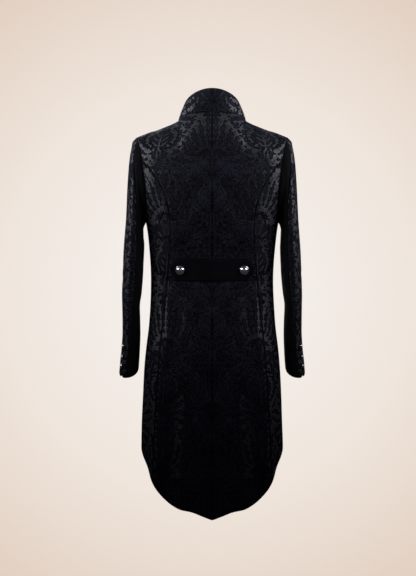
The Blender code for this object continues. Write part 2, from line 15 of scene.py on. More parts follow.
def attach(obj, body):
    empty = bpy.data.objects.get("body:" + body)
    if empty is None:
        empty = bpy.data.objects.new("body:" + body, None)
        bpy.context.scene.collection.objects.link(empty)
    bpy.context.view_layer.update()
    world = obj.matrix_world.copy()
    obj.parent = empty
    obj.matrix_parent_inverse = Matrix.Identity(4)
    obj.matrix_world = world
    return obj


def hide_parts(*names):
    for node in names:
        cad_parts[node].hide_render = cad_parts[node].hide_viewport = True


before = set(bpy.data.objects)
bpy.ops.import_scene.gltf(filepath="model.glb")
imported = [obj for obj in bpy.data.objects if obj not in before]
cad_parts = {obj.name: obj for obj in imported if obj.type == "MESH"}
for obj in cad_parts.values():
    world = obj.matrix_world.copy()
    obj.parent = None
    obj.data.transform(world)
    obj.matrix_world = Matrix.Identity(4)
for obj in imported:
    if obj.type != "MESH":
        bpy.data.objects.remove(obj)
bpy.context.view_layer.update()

# The room
# A pale seamless room whose floor curves up into its wall, with a pool of light on the wall that
# the wearer would face. The camera stands five metres behind the wearer.

ROOM_RADIUS = 9.0
ROOM_HEIGHT = 8.0
ROOM_CURVE = 2.5
FLOOR = -1.45
CAMERA_PLACE = (0.0113, 5.0, -0.4606)
SENSOR = 36.0
VIEW_HEIGHT = 1.584       # what the camera takes in of the coat's middle plane
POOL_EDGE = 0.19          # how far the pool of light spreads, per metre from the camera
WALL_BRIGHT = (0.913, 0.871, 0.839)
WALL_MIDDLE = (0.863, 0.783, 0.716)
WALL_DIM = (0.768, 0.638, 0.546)

bpy.context.scene.view_settings.view_transform = "Standard"
bpy.ops.object.select_all(action="DESELECT")
bpy.ops.mesh.primitive_cylinder_add(
    vertices=96, radius=ROOM_RADIUS, depth=ROOM_HEIGHT, location=(0, 0, FLOOR + ROOM_HEIGHT / 2))
room = bpy.context.object
room.name = "room"
bpy.ops.object.transform_apply(location=True)
bpy.ops.object.mode_set(mode="EDIT")
bpy.ops.mesh.select_all(action="DESELECT")
bpy.ops.object.mode_set(mode="OBJECT")
for face in room.data.polygons:
    face.select = face.center.z > FLOOR + ROOM_HEIGHT - 0.01
bpy.ops.object.mode_set(mode="EDIT")
bpy.ops.mesh.delete(type="FACE")
bpy.ops.mesh.select_all(action="DESELECT")
bpy.ops.object.mode_set(mode="OBJECT")
for edge in room.data.edges:
    edge.select = all(room.data.vertices[i].co.z < FLOOR + 0.01 for i in edge.vertices)
bpy.ops.object.mode_set(mode="EDIT")
bpy.ops.mesh.bevel(offset=ROOM_CURVE, segments=16, affect="EDGES")
bpy.ops.object.mode_set(mode="OBJECT")
bpy.ops.object.shade_smooth()


def new_material(name):
    """An empty node material, and a function that adds a linked node to it and gives one of its outputs."""
    material = bpy.data.materials.new(name)
    material.use_nodes = True
    nodes = material.node_tree.nodes
    nodes.clear()

    def add(kind, settings=None, output=0, **inputs):
        node = nodes.new("ShaderNode" + kind)
        for key, value in (settings or {}).items():
            setattr(node, key, value)
        for key, value in inputs.items():
            socket = node.inputs[int(key[1:])] if key[0] == "_" else node.inputs[key.replace("_", " ")]
            if isinstance(value, bpy.types.NodeSocket):
                material.node_tree.links.new(value, socket)
            else:
                socket.default_value = value
        return node.outputs[output] if node.outputs else node

    return material, add


def reckon(add, operation, *values):
    """One step of arithmetic on sockets and numbers."""
    return add("Math", {"operation": operation}, **{f"_{i}": value for i, value in enumerate(values)})


wall, add = new_material("pale wall")
place = add("TexCoord", output="Object")
from_camera = add("VectorMath", {"operation": "SUBTRACT"}, _0=place, _1=CAMERA_PLACE)
parts = add("SeparateXYZ", _0=from_camera).node.outputs
away = reckon(add, "MAXIMUM", reckon(add, "MULTIPLY", parts[1], -1.0), 0.5)
spread = add("CombineXYZ", _0=reckon(add, "DIVIDE", parts[0], away), _1=reckon(add, "DIVIDE", parts[2], away))
reach = add("VectorMath", {"operation": "LENGTH"}, "Value", _0=spread)
pool = add("ValToRGB", _0=reckon(add, "DIVIDE", reach, POOL_EDGE))
ramp = pool.node.color_ramp
ramp.elements[0].color = (*WALL_BRIGHT, 1)
ramp.elements[0].position = 0.15
ramp.elements[1].color = (*WALL_DIM, 1)
ramp.elements.new(0.60).color = (*WALL_MIDDLE, 1)
add("OutputMaterial", Surface=add("Emission", _0=pool))
room.data.materials.append(wall)
room.visible_diffuse = room.visible_glossy = room.visible_shadow = False

ROOM_LIGHT, ROOM_LIGHT_STRENGTH = (0.70, 0.72, 0.88, 1), 0.055
LIGHT_COLOUR = (0.94, 0.96, 1.0)
# Lights: name, place, where it aims, width and height, watts, and spread in degrees
LIGHTS = (
    ("left_panel", (1.7, 0.05, 0.45), (0, 0, 0.34), (1.2, 1.0), 4.0, 60),
    ("right_panel", (-1.7, 0.05, 0.45), (0, 0, 0.34), (1.2, 1.0), 4.0, 60),
    ("left_back_panel", (1.7, 0.95, 0.75), (0, 0, -0.02), (0.8, 0.8), 2.1, 42),
    ("right_back_panel", (-1.7, 0.95, 0.75), (0, 0, -0.02), (0.8, 0.8), 2.1, 42),
    ("back_panel", (0.0, 3.4, 0.6), (0, 0, 0.22), (1.2, 0.6), 0.45, 44),
    ("top_panel", (0.0, -0.35, 1.7), (0, 0, 0.0), (1.8, 0.7), 0.35, 60),
    ("front_panel", (0.5, -3.5, 1.2), (0, 0, -0.4), (2.0, 2.0), 30.0, 120),
)
for name, place, aim, (width, height), watts, spread in LIGHTS:
    light = bpy.data.lights.new(name, "AREA")
    light.shape = "RECTANGLE"
    light.size, light.size_y, light.energy = width, height, watts
    light.spread = math.radians(spread)
    light.color = LIGHT_COLOUR
    lamp = bpy.data.objects.new(name, light)
    lamp.location = place
    lamp.visible_camera = False
    lamp.rotation_euler = (Vector(aim) - Vector(place)).to_track_quat("-Z", "Y").to_euler()
    bpy.context.scene.collection.objects.link(lamp)

world = bpy.data.worlds.new("room light")
world.use_nodes = True
background = world.node_tree.nodes["Background"]
background.inputs[0].default_value = ROOM_LIGHT
background.inputs[1].default_value = ROOM_LIGHT_STRENGTH
bpy.context.scene.world = world

lens = bpy.data.cameras.new("camera")
lens.sensor_width = SENSOR
lens.lens = SENSOR * CAMERA_PLACE[1] / VIEW_HEIGHT
camera = bpy.data.objects.new("camera", lens)
camera.location = CAMERA_PLACE
camera.rotation_euler = (math.radians(90), 0, math.radians(180))
bpy.context.scene.collection.objects.link(camera)
bpy.context.scene.camera = camera

# The two backs
# Each is one long panel of damask from the shoulder seam and the collar to the tail's hem, shaped by the
# seam at the centre back and by the princess seam at its side. The tail closes over a long back vent.

CLOTH = 0.0014
CORNER = 0.83             # exponent of the body's sections: 1 is an ellipse, less is squarer
STITCH_BACK = 0.00015     # how far a panel's outer edge lies from its seam line
STITCH_IN = 0.0004        # how far its lining runs on past the line, so that no light comes through
# Body sections: (height, half width, depth behind, depth in front)
BODY = (
    (-0.112, 0.219, 0.104, 0.104), (-0.150, 0.215, 0.109, 0.116), (-0.200, 0.204, 0.109, 0.126),
    (-0.240, 0.192, 0.106, 0.130), (-0.284, 0.1815, 0.101, 0.130), (-0.330, 0.175, 0.093, 0.125),
    (-0.385, 0.170, 0.084, 0.117), (-0.440, 0.168, 0.080, 0.112), (-0.500, 0.1695, 0.086, 0.114),
    (-0.561, 0.174, 0.097, 0.118), (-0.620, 0.1805, 0.107, 0.123), (-0.700, 0.187, 0.113, 0.127),
    (-0.781, 0.1906, 0.115, 0.129), (-0.891, 0.194, 0.117, 0.131), (-1.100, 0.194, 0.120, 0.133),
)
YOKE_HEIGHT = BODY[0][0]
FOLD_DEPTH, FOLD_START, FOLD_FULL, FOLD_CENTRE, FOLD_COUNT = 0.005, -0.480, -0.980, 50.0, 10.0
# Shoulder seam: (half width, height)
SHOULDER = (
    (0.0925, 0.0), (0.104, -0.0065), (0.129, -0.0173), (0.155, -0.0275), (0.173, -0.0328), (0.208, -0.0470),
)
NECK_HALF_WIDTH, SHOULDER_HALF_WIDTH = SHOULDER[0][0], SHOULDER[-1][0]
NECK_SHARE = NECK_HALF_WIDTH / SHOULDER_HALF_WIDTH
NECK_BACK, NECK_FRONT, NECK_RISE, NECK_CURVE = 0.060, 0.085, 0.46, 2.6
ARMHOLE_HALF_WIDTH = 0.192
# Princess seam: (height, half width)
PRINCESS = (
    (-0.112, 0.192), (-0.150, 0.160), (-0.190, 0.136), (-0.240, 0.119), (-0.300, 0.112), (-0.360, 0.113),
    (-0.410, 0.118), (-0.500, 0.128), (-0.600, 0.138), (-0.700, 0.145), (-0.850, 0.153), (-1.000, 0.159),
)
# Hem: (angle round from the centre back, height)
HEM = (
    (0.0, -1.084), (4.9, -1.075), (12.4, -1.0635), (24.4, -1.055), (36.0, -1.036), (50.6, -0.993),
    (64.5, -0.952), (80.0, -0.911), (90.0, -0.889), (97.0, -0.872), (110.0, -0.818), (125.0, -0.735),
    (140.0, -0.640), (155.0, -0.545), (168.0, -0.482), (184.0, -0.452),
)
FAN_HEIGHT = -0.730       # rows run level down to here and then fan out to the hem
NECK_TILT, BACK_TILT, SHOULDER_TILT, YOKE_REACH = 20.0, 55.0, 6.0, 0.38
BACK_COLUMNS, YOKE_ROWS, LEVEL_ROWS, FAN_ROWS = 72, 56, 250, 136
NEAR_EDGE = (0.0045, 0.011)  # extra lines beside a panel's edges, as shares of its width


def read_curve(table, keys, column=1):
    """One column of a table, read smoothly between its rows at values of the first column."""
    x, y = np.array(sorted(table), float)[:, [0, column]].T
    gaps = np.concatenate([[x[1] - x[0]], x[2:] - x[:-2], [x[-1] - x[-2]]])
    slopes = np.concatenate([[y[1] - y[0]], y[2:] - y[:-2], [y[-1] - y[-2]]]) / gaps
    keys = np.clip(keys, x[0], x[-1])
    i = np.clip(np.searchsorted(x, keys, side="right") - 1, 0, len(x) - 2)
    span = x[i + 1] - x[i]
    t = (keys - x[i]) / span
    return (
        y[i] * (2 * t**3 - 3 * t**2 + 1) + y[i + 1] * (3 * t**2 - 2 * t**3)
        + span * slopes[i] * (t**3 - 2 * t**2 + t) + span * slopes[i + 1] * (t**3 - t**2)
    )


def ease(value):
    t = np.clip(value, 0.0, 1.0)
    return t * t * (3 - 2 * t)


def curve_point(start, start_pull, end_pull, end, t):
    t = np.asarray(t)[..., None]
    u = 1 - t
    return start * u**3 + start_pull * (3 * u * u * t) + end_pull * (3 * u * t * t) + end * t**3


def body_point(angle, height):
    """Points of the body form, at angles round from the centre back."""
    turn = np.radians(angle)
    across, along = np.sin(turn), np.cos(turn)
    half_width = read_curve(BODY, height, 1)
    depth = np.where(along > 0, read_curve(BODY, height, 2), read_curve(BODY, height, 3))
    wave = np.sin(2 * turn) * np.cos(np.radians(FOLD_COUNT * (angle - FOLD_CENTRE)))
    fold = FOLD_DEPTH * ease((FOLD_START - height) / (FOLD_START - FOLD_FULL)) * wave
    return np.stack(np.broadcast_arrays(
        half_width * np.sign(across) * np.abs(across) ** CORNER + fold * across,
        depth * np.sign(along) * np.abs(along) ** CORNER + fold * along, height), -1)


def body_angle(x, height, in_front=False):
    share = np.minimum(np.abs(x) / read_curve(BODY, height, 1), 1.0)
    angle = np.copysign(np.degrees(np.arcsin(share ** (1 / CORNER))), x)
    return 180.0 - angle if in_front else angle


def neck_point(angle):
    turn = np.radians(angle)
    along = np.cos(turn)
    y = along * np.where(along > 0, NECK_BACK, NECK_FRONT)
    return np.stack([NECK_HALF_WIDTH * np.sin(turn), y, NECK_RISE * y - NECK_CURVE * y * y], -1)


def crowded(count, start=0.0, end=1.0):
    """Steps from 0 to 1, closer together beside both ends."""
    inner = np.linspace(2 * NEAR_EDGE[1], 1 - 2 * NEAR_EDGE[1], count - 6)
    near = np.array(NEAR_EDGE)
    steps = np.concatenate([[0], near, inner, 1 - near[::-1], [1]])
    return start + (end - start) * steps


def yoke_curve(tops, feet_angles, tilts, forward, steps):
    """Points from the shoulder seam or the neck down to the yoke's height."""
    feet = body_point(feet_angles, YOKE_HEIGHT + 0 * feet_angles)
    rise = feet - body_point(feet_angles, YOKE_HEIGHT - 0.005 + 0 * feet_angles)
    rise /= np.linalg.norm(rise, axis=-1, keepdims=True)
    reach = YOKE_REACH * np.linalg.norm(feet - tops, axis=-1, keepdims=True)
    fall = np.radians(tilts)
    way = np.stack([0 * fall, forward * np.cos(fall), -np.sin(fall)], -1)
    return curve_point(tops, tops + reach * way, feet + reach * rise, feet, steps)


def arc_across(points):
    """How far each point of a grid is along its row."""
    steps = np.linalg.norm(np.diff(points, axis=1), axis=-1)
    return np.concatenate([np.zeros((len(points), 1)), np.cumsum(steps, axis=1)], 1)


def height_up(points, level_row):
    """The height of each point of a grid, and above one row the way up the cloth instead."""
    heights = points[..., 2].copy()
    steps = np.linalg.norm(np.diff(points[:level_row + 1], axis=0), axis=-1)
    heights[:level_row] = heights[level_row] + np.cumsum(steps[::-1], axis=0)[::-1]
    return heights


GIRTH_ANGLES, GIRTH_HEIGHTS = np.linspace(0, 184, 185), np.linspace(-1.1, YOKE_HEIGHT, 120)
girth_table = arc_across(body_point(GIRTH_ANGLES[None, :], GIRTH_HEIGHTS[:, None]))


def girth(angle, height):
    """How far round the body form each place is from the centre back."""
    column = np.clip(angle, 0, GIRTH_ANGLES[-1] - 0.001)
    row = (height - GIRTH_HEIGHTS[0]) / (GIRTH_HEIGHTS[1] - GIRTH_HEIGHTS[0])
    row = np.clip(row, 0, len(GIRTH_HEIGHTS) - 1.001)
    i, j = row.astype(int), column.astype(int)
    below = girth_table[i, j] * (1 - column + j) + girth_table[i, j + 1] * (column - j)
    above = girth_table[i + 1, j] * (1 - column + j) + girth_table[i + 1, j + 1] * (column - j)
    return below + (above - below) * (row - i)


def back_grid():
    """The left back from the shoulder seam and the neck down to the hem: points, and places on its cloth."""
    share = crowded(BACK_COLUMNS)
    x = share * SHOULDER_HALF_WIDTH
    in_neck = share <= NECK_SHARE
    neck_angle = np.degrees(np.arcsin(np.minimum(x / NECK_HALF_WIDTH, 1.0)))
    tops = np.stack([x, 0 * x, read_curve(SHOULDER, x)], -1)
    tops = np.where(in_neck[:, None], neck_point(neck_angle), tops)
    past_neck = ease((x - NECK_HALF_WIDTH) / (SHOULDER_HALF_WIDTH - NECK_HALF_WIDTH))
    tilts = np.where(in_neck, BACK_TILT + (NECK_TILT - BACK_TILT) * neck_angle / 90,
                     NECK_TILT + (SHOULDER_TILT - NECK_TILT) * past_neck)
    feet = body_angle(share * ARMHOLE_HALF_WIDTH, YOKE_HEIGHT)
    yoke = yoke_curve(tops, feet, tilts, 1.0, crowded(YOKE_ROWS)[:, None] + 0 * share)
    hem = read_curve(HEM, body_angle(share * PRINCESS[-1][1], PRINCESS[-1][0]))
    level = np.linspace(YOKE_HEIGHT, FAN_HEIGHT, LEVEL_ROWS)[1:, None] + 0 * share
    fan = FAN_HEIGHT + (hem - FAN_HEIGHT) * crowded(FAN_ROWS)[1:, None]
    heights = np.concatenate([level, fan])
    angles = body_angle(share * read_curve(PRINCESS, heights), heights)
    points = np.concatenate([yoke, body_point(angles, heights)])
    across = np.concatenate([arc_across(yoke), girth(angles, heights)])
    return points, np.stack([across, height_up(points, YOKE_ROWS - 1)], -1)


# Damask: black silk with satin figures on a dull ground. The motif is a fan of flame leaves on a vase,
# with scrolls, a bulb and leafy ogee bands; it is mirrored about its axis and repeats in a half drop.

HALF_REPEAT = 134         # millimetres from one motif's axis to the next, which is half a drop lower
REPEAT = 342
FIGURE_MARGIN = 8.0
ANCHOR_HEIGHT = -0.127    # height of the curls above the flame leaves, on the axis beside the centre back
# Leaves: base, pull and tip as (out from the axis, down), then the widest full width and pairs of leaflets
LEAVES = (
    (0, 136, 0, 80, 0, 8, 4.5, 6), (5, 137, 22, 94, 17, 20, 4.5, 5), (9, 138, 42, 108, 34, 38, 4.5, 4),
    (12, 140, 60, 122, 49, 60, 4.5, 4), (15, 144, 76, 142, 64, 86, 4.5, 3),
    (16, 148, 84, 160, 78, 116, 4.5, 3), (16, 152, 58, 168, 80, 142, 5, 5),
    (4, 192, 2, 162, 22, 152, 13, 0), (7, 195, 26, 190, 36, 170, 7, 0), (2, 180, 6, 168, 3, 156, 4, 0),
    (9, 224, 70, 250, 4, 308, 4.5, 8), (4, 254, 10, 246, 19, 234, 6, 0), (4, 272, 13, 262, 23, 250, 6, 0),
    (4, 290, 13, 282, 23, 269, 6, 0), (0, 308, 0, 268, 0, 222, 5, 0), (14, 304, 40, 306, 52, 282, 5, 4),
    (16, 316, 46, 328, 64, 300, 5, 4), (96, 196, 74, 198, 54, 182, 4, 3), (86, 218, 66, 222, 50, 206, 4, 3),
    (74, 240, 60, 244, 50, 230, 4, 2), (58, 262, 52, 262, 46, 252, 4, 0),
    (102, 200, 114, 214, 112, 236, 4, 3), (84, 226, 100, 238, 100, 260, 4, 3),
    (66, 250, 86, 264, 86, 286, 4, 3), (46, 276, 64, 290, 64, 312, 4, 3), (52, 164, 64, 176, 82, 176, 4, 2),
    (30, 330, 50, 344, 74, 338, 4.5, 4), (26, 346, 44, 362, 66, 366, 4.5, 4),
    (14, 350, 24, 372, 44, 384, 4.5, 3), (0, 352, 0, 366, 0, 384, 5, 2), (40, 186, 50, 196, 44, 216, 5, 0),
    (24, 226, 40, 224, 50, 236, 4, 0), (14, 214, 28, 230, 36, 224, 4, 0),
)
# Leaflets of the leaves and of the band: length, how far they spread, and width
FAN_LEAFLETS, LEAFLETS = (17.0, 0.30, 4.7), (11.5, 0.48, 4.8)
FAN_TOP, FAN_FOOT = 134, 150     # the leaves that start between these are the fan's
# Scrolls: start and pull, the curl's centre and radius, its turns, and the full width at the start
SCROLLS = (
    (4, 296, 6, 334, 21, 334, 12.5, 1.45, 6.5),
    (5, 196, 14, 216, 28, 210, 10.5, -1.45, 5.5),
    (40, 200, 60, 212, 62, 226, 8, 1.3, 4),
)
SCROLL_LEAD, SCROLL_CLOSE, SCROLL_TIP = 14, 0.82, 0.31   # its run-in, how far it closes, its tip's width
# Drops: out, down and radius
DROPS = (
    (0, 143, 7), (12, 151, 4), (0, 168, 4), (0, 178, 4), (0, 206, 5), (34, 240, 4), (38, 256, 3.5),
    (0, 318, 3.5), (0, 326, 3), (44, 36, 3), (74, 84, 3),
)
# The leafy band, from the neighbouring motif's curl down to its own crossing
BAND = ((104, 184), (98, 240), (42, 286), (11, 338))
BAND_WIDTH, BAND_LEAVES = 3.6, 12


def flat_curve(points, steps):
    """A Bezier curve of three or four flat points."""
    points = np.array(points, float)
    if len(points) == 3:
        start, pull, end = points
        points = (start, (start + 2 * pull) / 3, (end + 2 * pull) / 3, end)
    return curve_point(*points, steps)


def leaf_widths(width, steps):
    return width / 2 * np.sin(np.pi * steps**0.75) ** 0.8


def leaflet_strokes(spine, count, reach, spread, width):
    """Small leaves in pairs along a spine, shorter towards its end."""
    steps = np.linspace(0, 1, 9)
    strokes = []
    for i in range(count):
        share = (i + 0.5) / (count + 0.3)
        here, ahead = flat_curve(spine, np.array([share, share + 0.01]))
        along = (ahead - here) / np.linalg.norm(ahead - here) * reach * (1 - 0.35 * share)
        for across in (np.array([-along[1], along[0]]), np.array([along[1], -along[0]])):
            tip = here + 1.1 * along + spread * across
            strokes.append((flat_curve((here, here + 0.45 * along + 1.2 * spread * across, tip), steps),
                            leaf_widths(width * (1 - 0.25 * share), steps)))
    return strokes


def motif_strokes():
    """(points, half widths) of each stroke in the right half of one motif."""
    strokes = []
    steps = np.linspace(0, 1, 17)
    for *spine, width, leaflets in LEAVES:
        spine = np.reshape(spine, (3, 2))
        strokes.append((flat_curve(spine, steps), leaf_widths(width, steps)))
        in_fan = FAN_TOP < spine[0][1] < FAN_FOOT
        strokes += leaflet_strokes(spine, leaflets, *(FAN_LEAFLETS if in_fan else LEAFLETS))
    for start_x, start_down, pull_x, pull_down, x, down, radius, turns, width in SCROLLS:
        entry = math.atan2(pull_down - down, pull_x - x)
        share = np.linspace(0, 1, 26)
        turn = entry - 2 * np.pi * turns * share
        outward = np.stack([np.cos(turn), np.sin(turn)], 1)
        curl = (x, down) + (radius * (1 - SCROLL_CLOSE * share))[:, None] * outward
        into = (curl[1] - curl[0]) / np.linalg.norm(curl[1] - curl[0])
        lead = ((start_x, start_down), curl[0] - SCROLL_LEAD * into, curl[0])
        stem = flat_curve(lead, np.linspace(0, 1, 9)[:-1])
        points = np.concatenate([stem, curl])
        share = np.linspace(0, 1, len(points))
        widths = width / 2 * (1 - 0.55 * share) * np.minimum(1, 0.3 + share * 6)
        widths[-2:] = SCROLL_TIP * width
        strokes.append((points, widths))
    for x, down, radius in DROPS:
        strokes.append((np.array([(x, down), (x, down + 0.01)]), np.full(2, float(radius))))
    strokes.append((flat_curve(BAND, steps), np.full(len(steps), BAND_WIDTH / 2)))
    return strokes + leaflet_strokes(BAND, BAND_LEAVES, *LEAFLETS)


def draw_stroke(points, widths, depth, shade, turned):
    """Adds a stroke to the motif's tile: how deep each place is in a figure, and on which side of it."""
    reach = widths.max() + FIGURE_MARGIN
    low = np.maximum(np.floor(points.min(0) - reach), 0).astype(int)
    high = np.minimum(np.ceil(points.max(0) + reach), (HALF_REPEAT, REPEAT - 1)).astype(int)
    if (high <= low).any():
        return
    x, down = np.meshgrid(np.arange(low[0], high[0] + 1), np.arange(low[1], high[1] + 1))
    best, side = np.full(x.shape, -FIGURE_MARGIN), np.zeros(x.shape)
    for start, end, start_width, end_width in zip(points, points[1:], widths, widths[1:]):
        step = end - start
        square = max(step @ step, 1e-9)
        t = np.clip(((x - start[0]) * step[0] + (down - start[1]) * step[1]) / square, 0, 1)
        off_x, off_down = x - start[0] - t * step[0], down - start[1] - t * step[1]
        width = start_width + t * (end_width - start_width)
        inside = width - np.hypot(off_x, off_down)
        across = (step[0] * off_down - step[1] * off_x) / (math.sqrt(square) * np.maximum(width, 0.5))
        side = np.where(inside > best, across, side)
        best = np.maximum(inside, best)
    window = (slice(low[1], high[1] + 1), slice(low[0], high[0] + 1))
    shade[window] = np.where(best > depth[window], turned * np.clip(side, -1, 1), shade[window])
    depth[window] = np.maximum(best, depth[window])


def draw_motif():
    depth = np.full((REPEAT, HALF_REPEAT + 1), -FIGURE_MARGIN)
    shade = np.zeros(depth.shape)
    for points, widths in motif_strokes():
        for mirror in (1, -1):
            own = points * (mirror, 1)
            twin = np.array((HALF_REPEAT, REPEAT / 2)) + own * (-1, 1)
            for copy, turned in ((own, mirror), (twin, -mirror)):
                for drop in (-2 * REPEAT, -REPEAT, 0, REPEAT):
                    draw_stroke(copy + (0, drop), widths, depth, shade, turned)
    return depth, shade


figure_depth, figure_shade = draw_motif()


def read_motif(tile, across, height):
    """The tile's value at places on the cloth: metres from a motif's axis, and height."""
    x = np.abs((across * 1000 + HALF_REPEAT) % (2 * HALF_REPEAT) - HALF_REPEAT)
    down = ((ANCHOR_HEIGHT - height) * 1000 + REPEAT / 2) % REPEAT
    column, row = np.minimum(x.astype(int), HALF_REPEAT - 1), down.astype(int) % REPEAT
    part_x, part_down = x - column, down - np.floor(down)
    below = (row + 1) % REPEAT
    upper = tile[row, column] * (1 - part_x) + tile[row, column + 1] * part_x
    lower = tile[below, column] * (1 - part_x) + tile[below, column + 1] * part_x
    return upper * (1 - part_down) + lower * part_down


GROUND_COLOUR = (0.0112, 0.0110, 0.0175, 1)
FIGURE_COLOUR = (0.0180, 0.0178, 0.0262, 1)
FIGURE_SHADOW = (0.0030, 0.0030, 0.0050, 1)
GROUND_SHADOW = (0.0040, 0.0040, 0.0062, 1)


def grade(add, value, low, high, to_low=0.0, to_high=1.0, smooth=False):
    """A value carried from one range to another and held at its ends."""
    settings = {"interpolation_type": "SMOOTHSTEP"} if smooth else None
    return add("MapRange", settings, _0=value, _1=low, _2=high, _3=to_low, _4=to_high)


def blend(add, share, low, high):
    """A colour between two others."""
    return add("Mix", {"data_type": "RGBA"}, 2, _0=share, _6=low, _7=high)


damask, add = new_material("damask")
on_cloth = add("UVMap", {"uv_map": "cloth"})
veins = add("TexNoise", Vector=on_cloth, Scale=140.0, Detail=2.0, Roughness=0.5)
drawn = add("Attribute", {"attribute_name": "figure"}, "Fac")
depth_in = reckon(add, "ADD", drawn, grade(add, veins, 0.3, 0.7, -0.9, 1.0))
figure = grade(add, depth_in, 0.15, 0.75, smooth=True)
rim = grade(add, depth_in, 1.9, 1.1, 0.3, smooth=True)
side_of = add("Attribute", {"attribute_name": "shade"}, "Fac")
shade = reckon(add, "MULTIPLY", grade(add, side_of, -0.7, 0.8, smooth=True), rim)
ground = blend(add, grade(add, depth_in, -3.0, -0.2, smooth=True), GROUND_COLOUR, GROUND_SHADOW)
colour = blend(add, figure, ground, blend(add, shade, FIGURE_SHADOW, FIGURE_COLOUR))
wear = add("TexNoise", Vector=on_cloth, Scale=18.0, Detail=3.0)
slub = add("TexNoise", Vector=add("Mapping", Vector=on_cloth, Scale=(330, 150, 1)), Scale=1.0, Detail=2.0)
thread = add("TexNoise", Vector=add("Mapping", Vector=on_cloth, Scale=(2600, 900, 1)), Scale=1.0, Detail=1.0)
seam = add("Attribute", {"attribute_name": "seam"}, "Fac")
uneven = grade(add, reckon(add, "ADD", wear, slub), 0.72, 1.28, 0.45, 1.6)
# Painted shade: the cloth's colour darkens towards its seams and edges, where it turns in
uneven = reckon(add, "MULTIPLY", uneven, grade(add, seam, 0.0, 1.0, 1.0, 0.55))
colour = add("VectorMath", {"operation": "SCALE"}, _0=colour, Scale=uneven)
roughness = add("Mix", {"data_type": "FLOAT"}, _0=figure, _2=0.72, _3=grade(add, shade, 0.0, 1.0, 0.64, 0.55))
bump = add("Bump", Height=reckon(add, "MULTIPLY_ADD", figure, 1.5, thread), Strength=0.5, Distance=0.0002)
# The satin gleams where the cloth turns away from the eye, and less at its very edge
turned_away = add("LayerWeight", output="Facing")
rising = grade(add, turned_away, 0.045, 0.17, 0.12)
falling = grade(add, turned_away, 0.82, 1.0, 1.0, 0.3)
satin = reckon(add, "MULTIPLY", rim, reckon(add, "MULTIPLY", rising, falling))
gleam = grade(add, reckon(add, "MULTIPLY", figure, satin), 0.0, 1.0, 0.02, 0.66)
shader = add("BsdfPrincipled", Base_Color=colour, Roughness=roughness, Normal=bump, Specular_IOR_Level=gleam)
add("OutputMaterial", Surface=shader)

lining, add = new_material("lining satin")
on_cloth = add("UVMap", {"uv_map": "cloth"})
twill = add("TexWave", {"bands_direction": "DIAGONAL"}, "Fac", Vector=on_cloth, Scale=380.0, Distortion=0.6)
stain = add("TexNoise", Vector=on_cloth, Scale=9.0, Detail=2.0)
colour = blend(add, grade(add, stain, 0.3, 0.7), (0.012, 0.012, 0.016, 1), (0.019, 0.019, 0.024, 1))
bump = add("Bump", Height=twill, Strength=0.35, Distance=0.0002)
add("OutputMaterial", Surface=add("BsdfPrincipled", Base_Color=colour, Normal=bump, Roughness=0.42))

SEAM_DIP, SEAM_REACH = 0.0011, 0.0020   # how deep and how near the cloth turns in at its edges
LINING_DIP = 0.35         # how much of that the lining follows
INLAND = 0.02             # creases and ripples reach their full depth this far from an edge
STITCH_DEPTH, STITCH_WIDTH = 0.0005, 0.0009
SHARP_ANGLE = math.radians(60)
SEAM_SHADOW = 3.0         # how many millimetres the figures shrink along an edge
RIPPLES = ((31.0, 11.0, 0.4), (-17.0, 23.0, 1.9), (7.0, -38.0, 3.1), (44.0, 29.0, 5.0))
RIPPLE_DEPTH = 0.00022
FACING = 0.035            # the outer cloth turns in and runs this far inside a free edge


def quads_of(index):
    """The faces of a grid of numbered points."""
    return np.stack([index[:-1, :-1], index[:-1, 1:], index[1:, 1:], index[1:, :-1]], -1).reshape(-1, 4)


def numbers_of(points):
    """The numbers of a grid's points, row by row."""
    return np.arange(points[..., 0].size).reshape(points.shape[:2])


def point_normals(points, quads):
    ways = np.cross(points[quads[:, 2]] - points[quads[:, 0]], points[quads[:, 3]] - points[quads[:, 1]])
    normals = np.zeros(points.shape)
    for corner in range(4):
        np.add.at(normals, quads[:, corner], ways)
    return normals / np.linalg.norm(normals, axis=1, keepdims=True)


def border_of(quads):
    """The edges that one face alone has, in that face's order, and those faces."""
    edges = np.concatenate([quads[:, [i, (i + 1) % 4]] for i in range(4)])
    _, first, counts = np.unique(np.sort(edges, axis=1), axis=0, return_index=True, return_counts=True)
    alone = first[counts == 1]
    return edges[alone], quads[alone % len(quads)]


def step_back(points, border, border_quads, distance):
    """Moves the edge of a panel off its seam line, into the panel."""
    along = points[border[:, 1]] - points[border[:, 0]]
    inward = points[border_quads].mean(1) - points[border[:, 0]]
    inward -= along * ((inward * along).sum(1) / (along * along).sum(1))[:, None]
    inward /= np.linalg.norm(inward, axis=1, keepdims=True)
    steps = np.zeros(points.shape)
    for end in (0, 1):
        np.add.at(steps, border[:, end], inward)
    length = np.linalg.norm(steps, axis=1, keepdims=True)
    return points + distance * steps / np.maximum(length, 1e-9)


def distance_to(points, targets):
    tree = KDTree(len(targets))
    for i, target in enumerate(targets):
        tree.insert(target, i)
    tree.balance()
    return np.array([tree.find(point)[2] for point in points])


def crease_depths(cloth, creases):
    """How deep troughs press the cloth in: each from and to a place on it, with a half width and a depth."""
    depths = np.zeros(len(cloth))
    for start_x, start_up, end_x, end_up, width, depth in creases:
        start, step = np.array((start_x, start_up)), np.array((end_x - start_x, end_up - start_up))
        t = (cloth - start) @ step / (step @ step)
        off = np.linalg.norm(cloth - start - np.clip(t, 0, 1)[:, None] * step, axis=1)
        depths += depth * np.exp(-(off / width) ** 2) * ease(1.25 - np.abs(2 * t - 1))
    return depths


